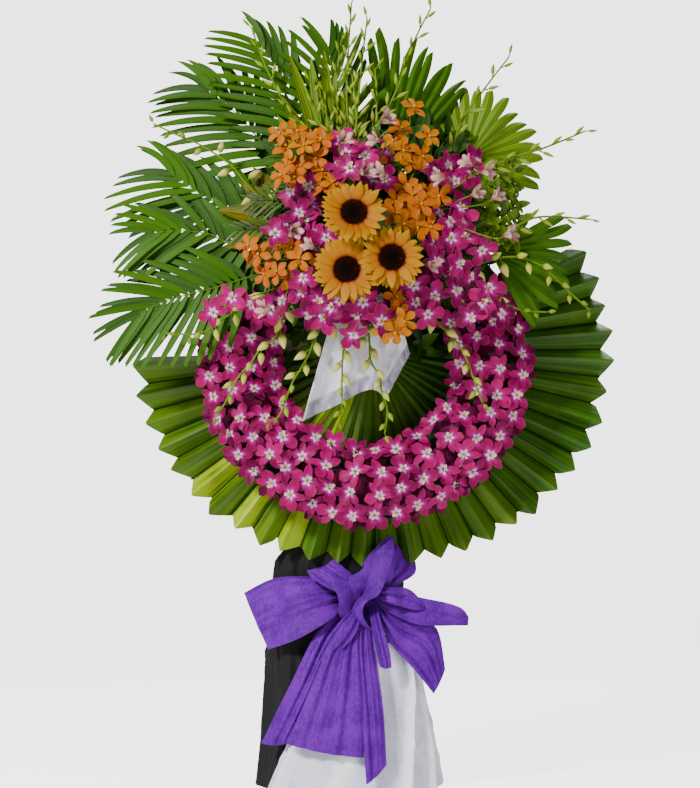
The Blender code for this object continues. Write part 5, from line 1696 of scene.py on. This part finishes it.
knot = Vector((0.024, cloth_front(0.024, 0.40) - 0.022, 0.402))
build = new_build()
for number, (folds, depth, stand, upper, lower) in enumerate((
    (3, 0.007, (0.0, 0.030, 0.030, 0.012), ((-20, 425), (-94, 441), (-168, 436), (-231, 405)),
     ((-15, 380), (-48, 355), (-113, 317), (-178, 290))),
    (2, 0.006, (0.0, 0.012, 0.020, 0.010), ((0, 385), (-71, 335), (-135, 215), (-191, 101)),
     ((10, 375), (-30, 330), (-85, 205), (-137, 103))),
    (4, 0.006, (0.0, 0.026, 0.034, 0.016), ((5, 380), (-42, 320), (-92, 210), (-137, 103)),
     ((20, 375), (12, 300), (20, 190), (21, 78))),
    (2, 0.005, (0.0, 0.020, 0.026, 0.012), ((18, 380), (8, 300), (18, 150), (25, 25)),
     ((30, 375), (44, 290), (60, 180), (67, 63))),
    (3, 0.006, (0.0, 0.022, 0.028, 0.010), ((40, 375), (78, 304), (122, 255), (166, 200)),
     ((50, 395), (110, 350), (172, 335), (191, 248))),
    (1, 0.004, (0.0, 0.040, 0.046, 0.030), ((45, 412), (149, 396), (220, 378), (241, 355)),
     ((42, 385), (115, 349), (168, 340), (239, 338))),
    (2, 0.005, (0.0, 0.034, 0.044, 0.040), ((25, 425), (18, 465), (48, 505), (78, 528)),
     ((50, 415), (78, 430), (86, 478), (84, 526))),
    (2, 0.004, (0.0, 0.024, 0.030, 0.024), ((40, 425), (76, 455), (86, 490), (90, 508)),
     ((55, 410), (95, 425), (128, 446), (130, 470))),
    (2, 0.004, (0.0, 0.044, 0.050, 0.040), ((42, 415), (67, 420), (115, 416), (147, 384)),
     ((42, 395), (80, 386), (120, 374), (145, 372))),
    (3, 0.006, (0.0, 0.032, 0.042, 0.036), ((5, 405), (-38, 412), (-70, 428), (-94, 447)),
     ((15, 425), (-2, 445), (-25, 465), (-44, 478))),
    (2, 0.004, (0.0, 0.020, 0.022, 0.014), ((8, 385), (-30, 350), (-58, 310), (-74, 276)),
     ((18, 375), (5, 330), (-20, 300), (-60, 274))),
    (2, 0.004, (0.0, 0.030, 0.034, 0.022), ((30, 375), (40, 325), (48, 285), (54, 260)),
     ((45, 385), (62, 330), (74, 290), (78, 258))),
)):
    def ribbon_spot(across, along):
        first = along_keys(((24, 402), *upper), along) / 1000
        last = along_keys(((24, 402), *lower), along) / 1000
        wide = (last - first).length
        place = first.lerp(last, across)
        front = min(cloth_front(place.x, place.y), cloth_front(place.x * 0.5, place.y) + 0.03)
        lift = along_keys([(value, 0) for value in (0.004, *stand)], along).x
        front = front - 0.003 - 0.0012 * number - lift
        tight = min(1.0, 3.0 * along)
        wave = 0.7 * sin(tau * folds * across + number)
        wave += 0.5 * sin(tau * 1.62 * folds * across + 2.3 * number)
        wave = wave * depth * tight * (1 - 0.35 * along)
        wave += 0.0022 * sin(tau * 4 * folds * across + number) * tight * (1 - along) ** 4
        wave += 0.003 * noise.noise(Vector((3 * across, 2.5 * along, number))) * tight
        y = (1 - tight) * (knot.y + 0.004 * (number % 4)) + tight * front + wave
        sag = 0.004 * sin(pi * across) * along**3
        return Vector((place.x, y, place.y - sag))

    add_sheet(build, 28, 30, ribbon_spot, number)
for number, (rim, back) in enumerate((
    (((-98, 455, 2), (-84, 436, 14), (-43, 418, 26), (-31, 392, 32), (-32, 368, 28), (-15, 346, 16),
      (6, 339, 4)),
     ((-60, 464, 0), (-25, 458, 2), (0, 436, 4), (8, 418, 0), (6, 400, -4), (2, 382, -2), (12, 350, 0))),
    (((81, 526, 10), (80, 486, 20), (66, 437, 28), (51, 406, 34), (27, 392, 36), (18, 368, 34),
      (33, 339, 28), (61, 323, 20), (95, 311, 10)),
     ((28, 478, 0), (25, 455, 4), (22, 430, 6), (20, 408, 6), (4, 390, 12), (-4, 370, 18), (6, 345, 16),
      (30, 326, 8), (72, 304, 2))),
    (((30, 470, 4), (10, 452, 10), (-12, 440, 14), (-20, 420, 10), (-10, 400, 4)),
     ((44, 440, 0), (34, 428, 6), (22, 416, 8), (14, 404, 4), (8, 392, 0))),
)):
    def ruffle_spot(across, along):
        first = along_keys(rim, along)
        last = along_keys(back, along)
        place = first.lerp(last, across)
        front = place.z + 7 * sin(pi * across) + 2 * sin(9 * along + 4 * across) * across
        return Vector((place.x / 1000, knot.y - front / 1000, place.y / 1000))

    add_sheet(build, 16, 60, ruffle_spot, 20.0 + number)
bow = make("ribbon_bow", build, purple, 0.0006)
hand_in(bow, "purple_ribbon", "purple_bow")


# The templates go.
for old in (
    *orchids, *mokaras, *half_open, under_bloom, sprig, broad_sprig, bed, hump, shoulder, leaflet, bud,
    slim_bud, ray, bract, floret, dish,
):
    bpy.data.objects.remove(old)
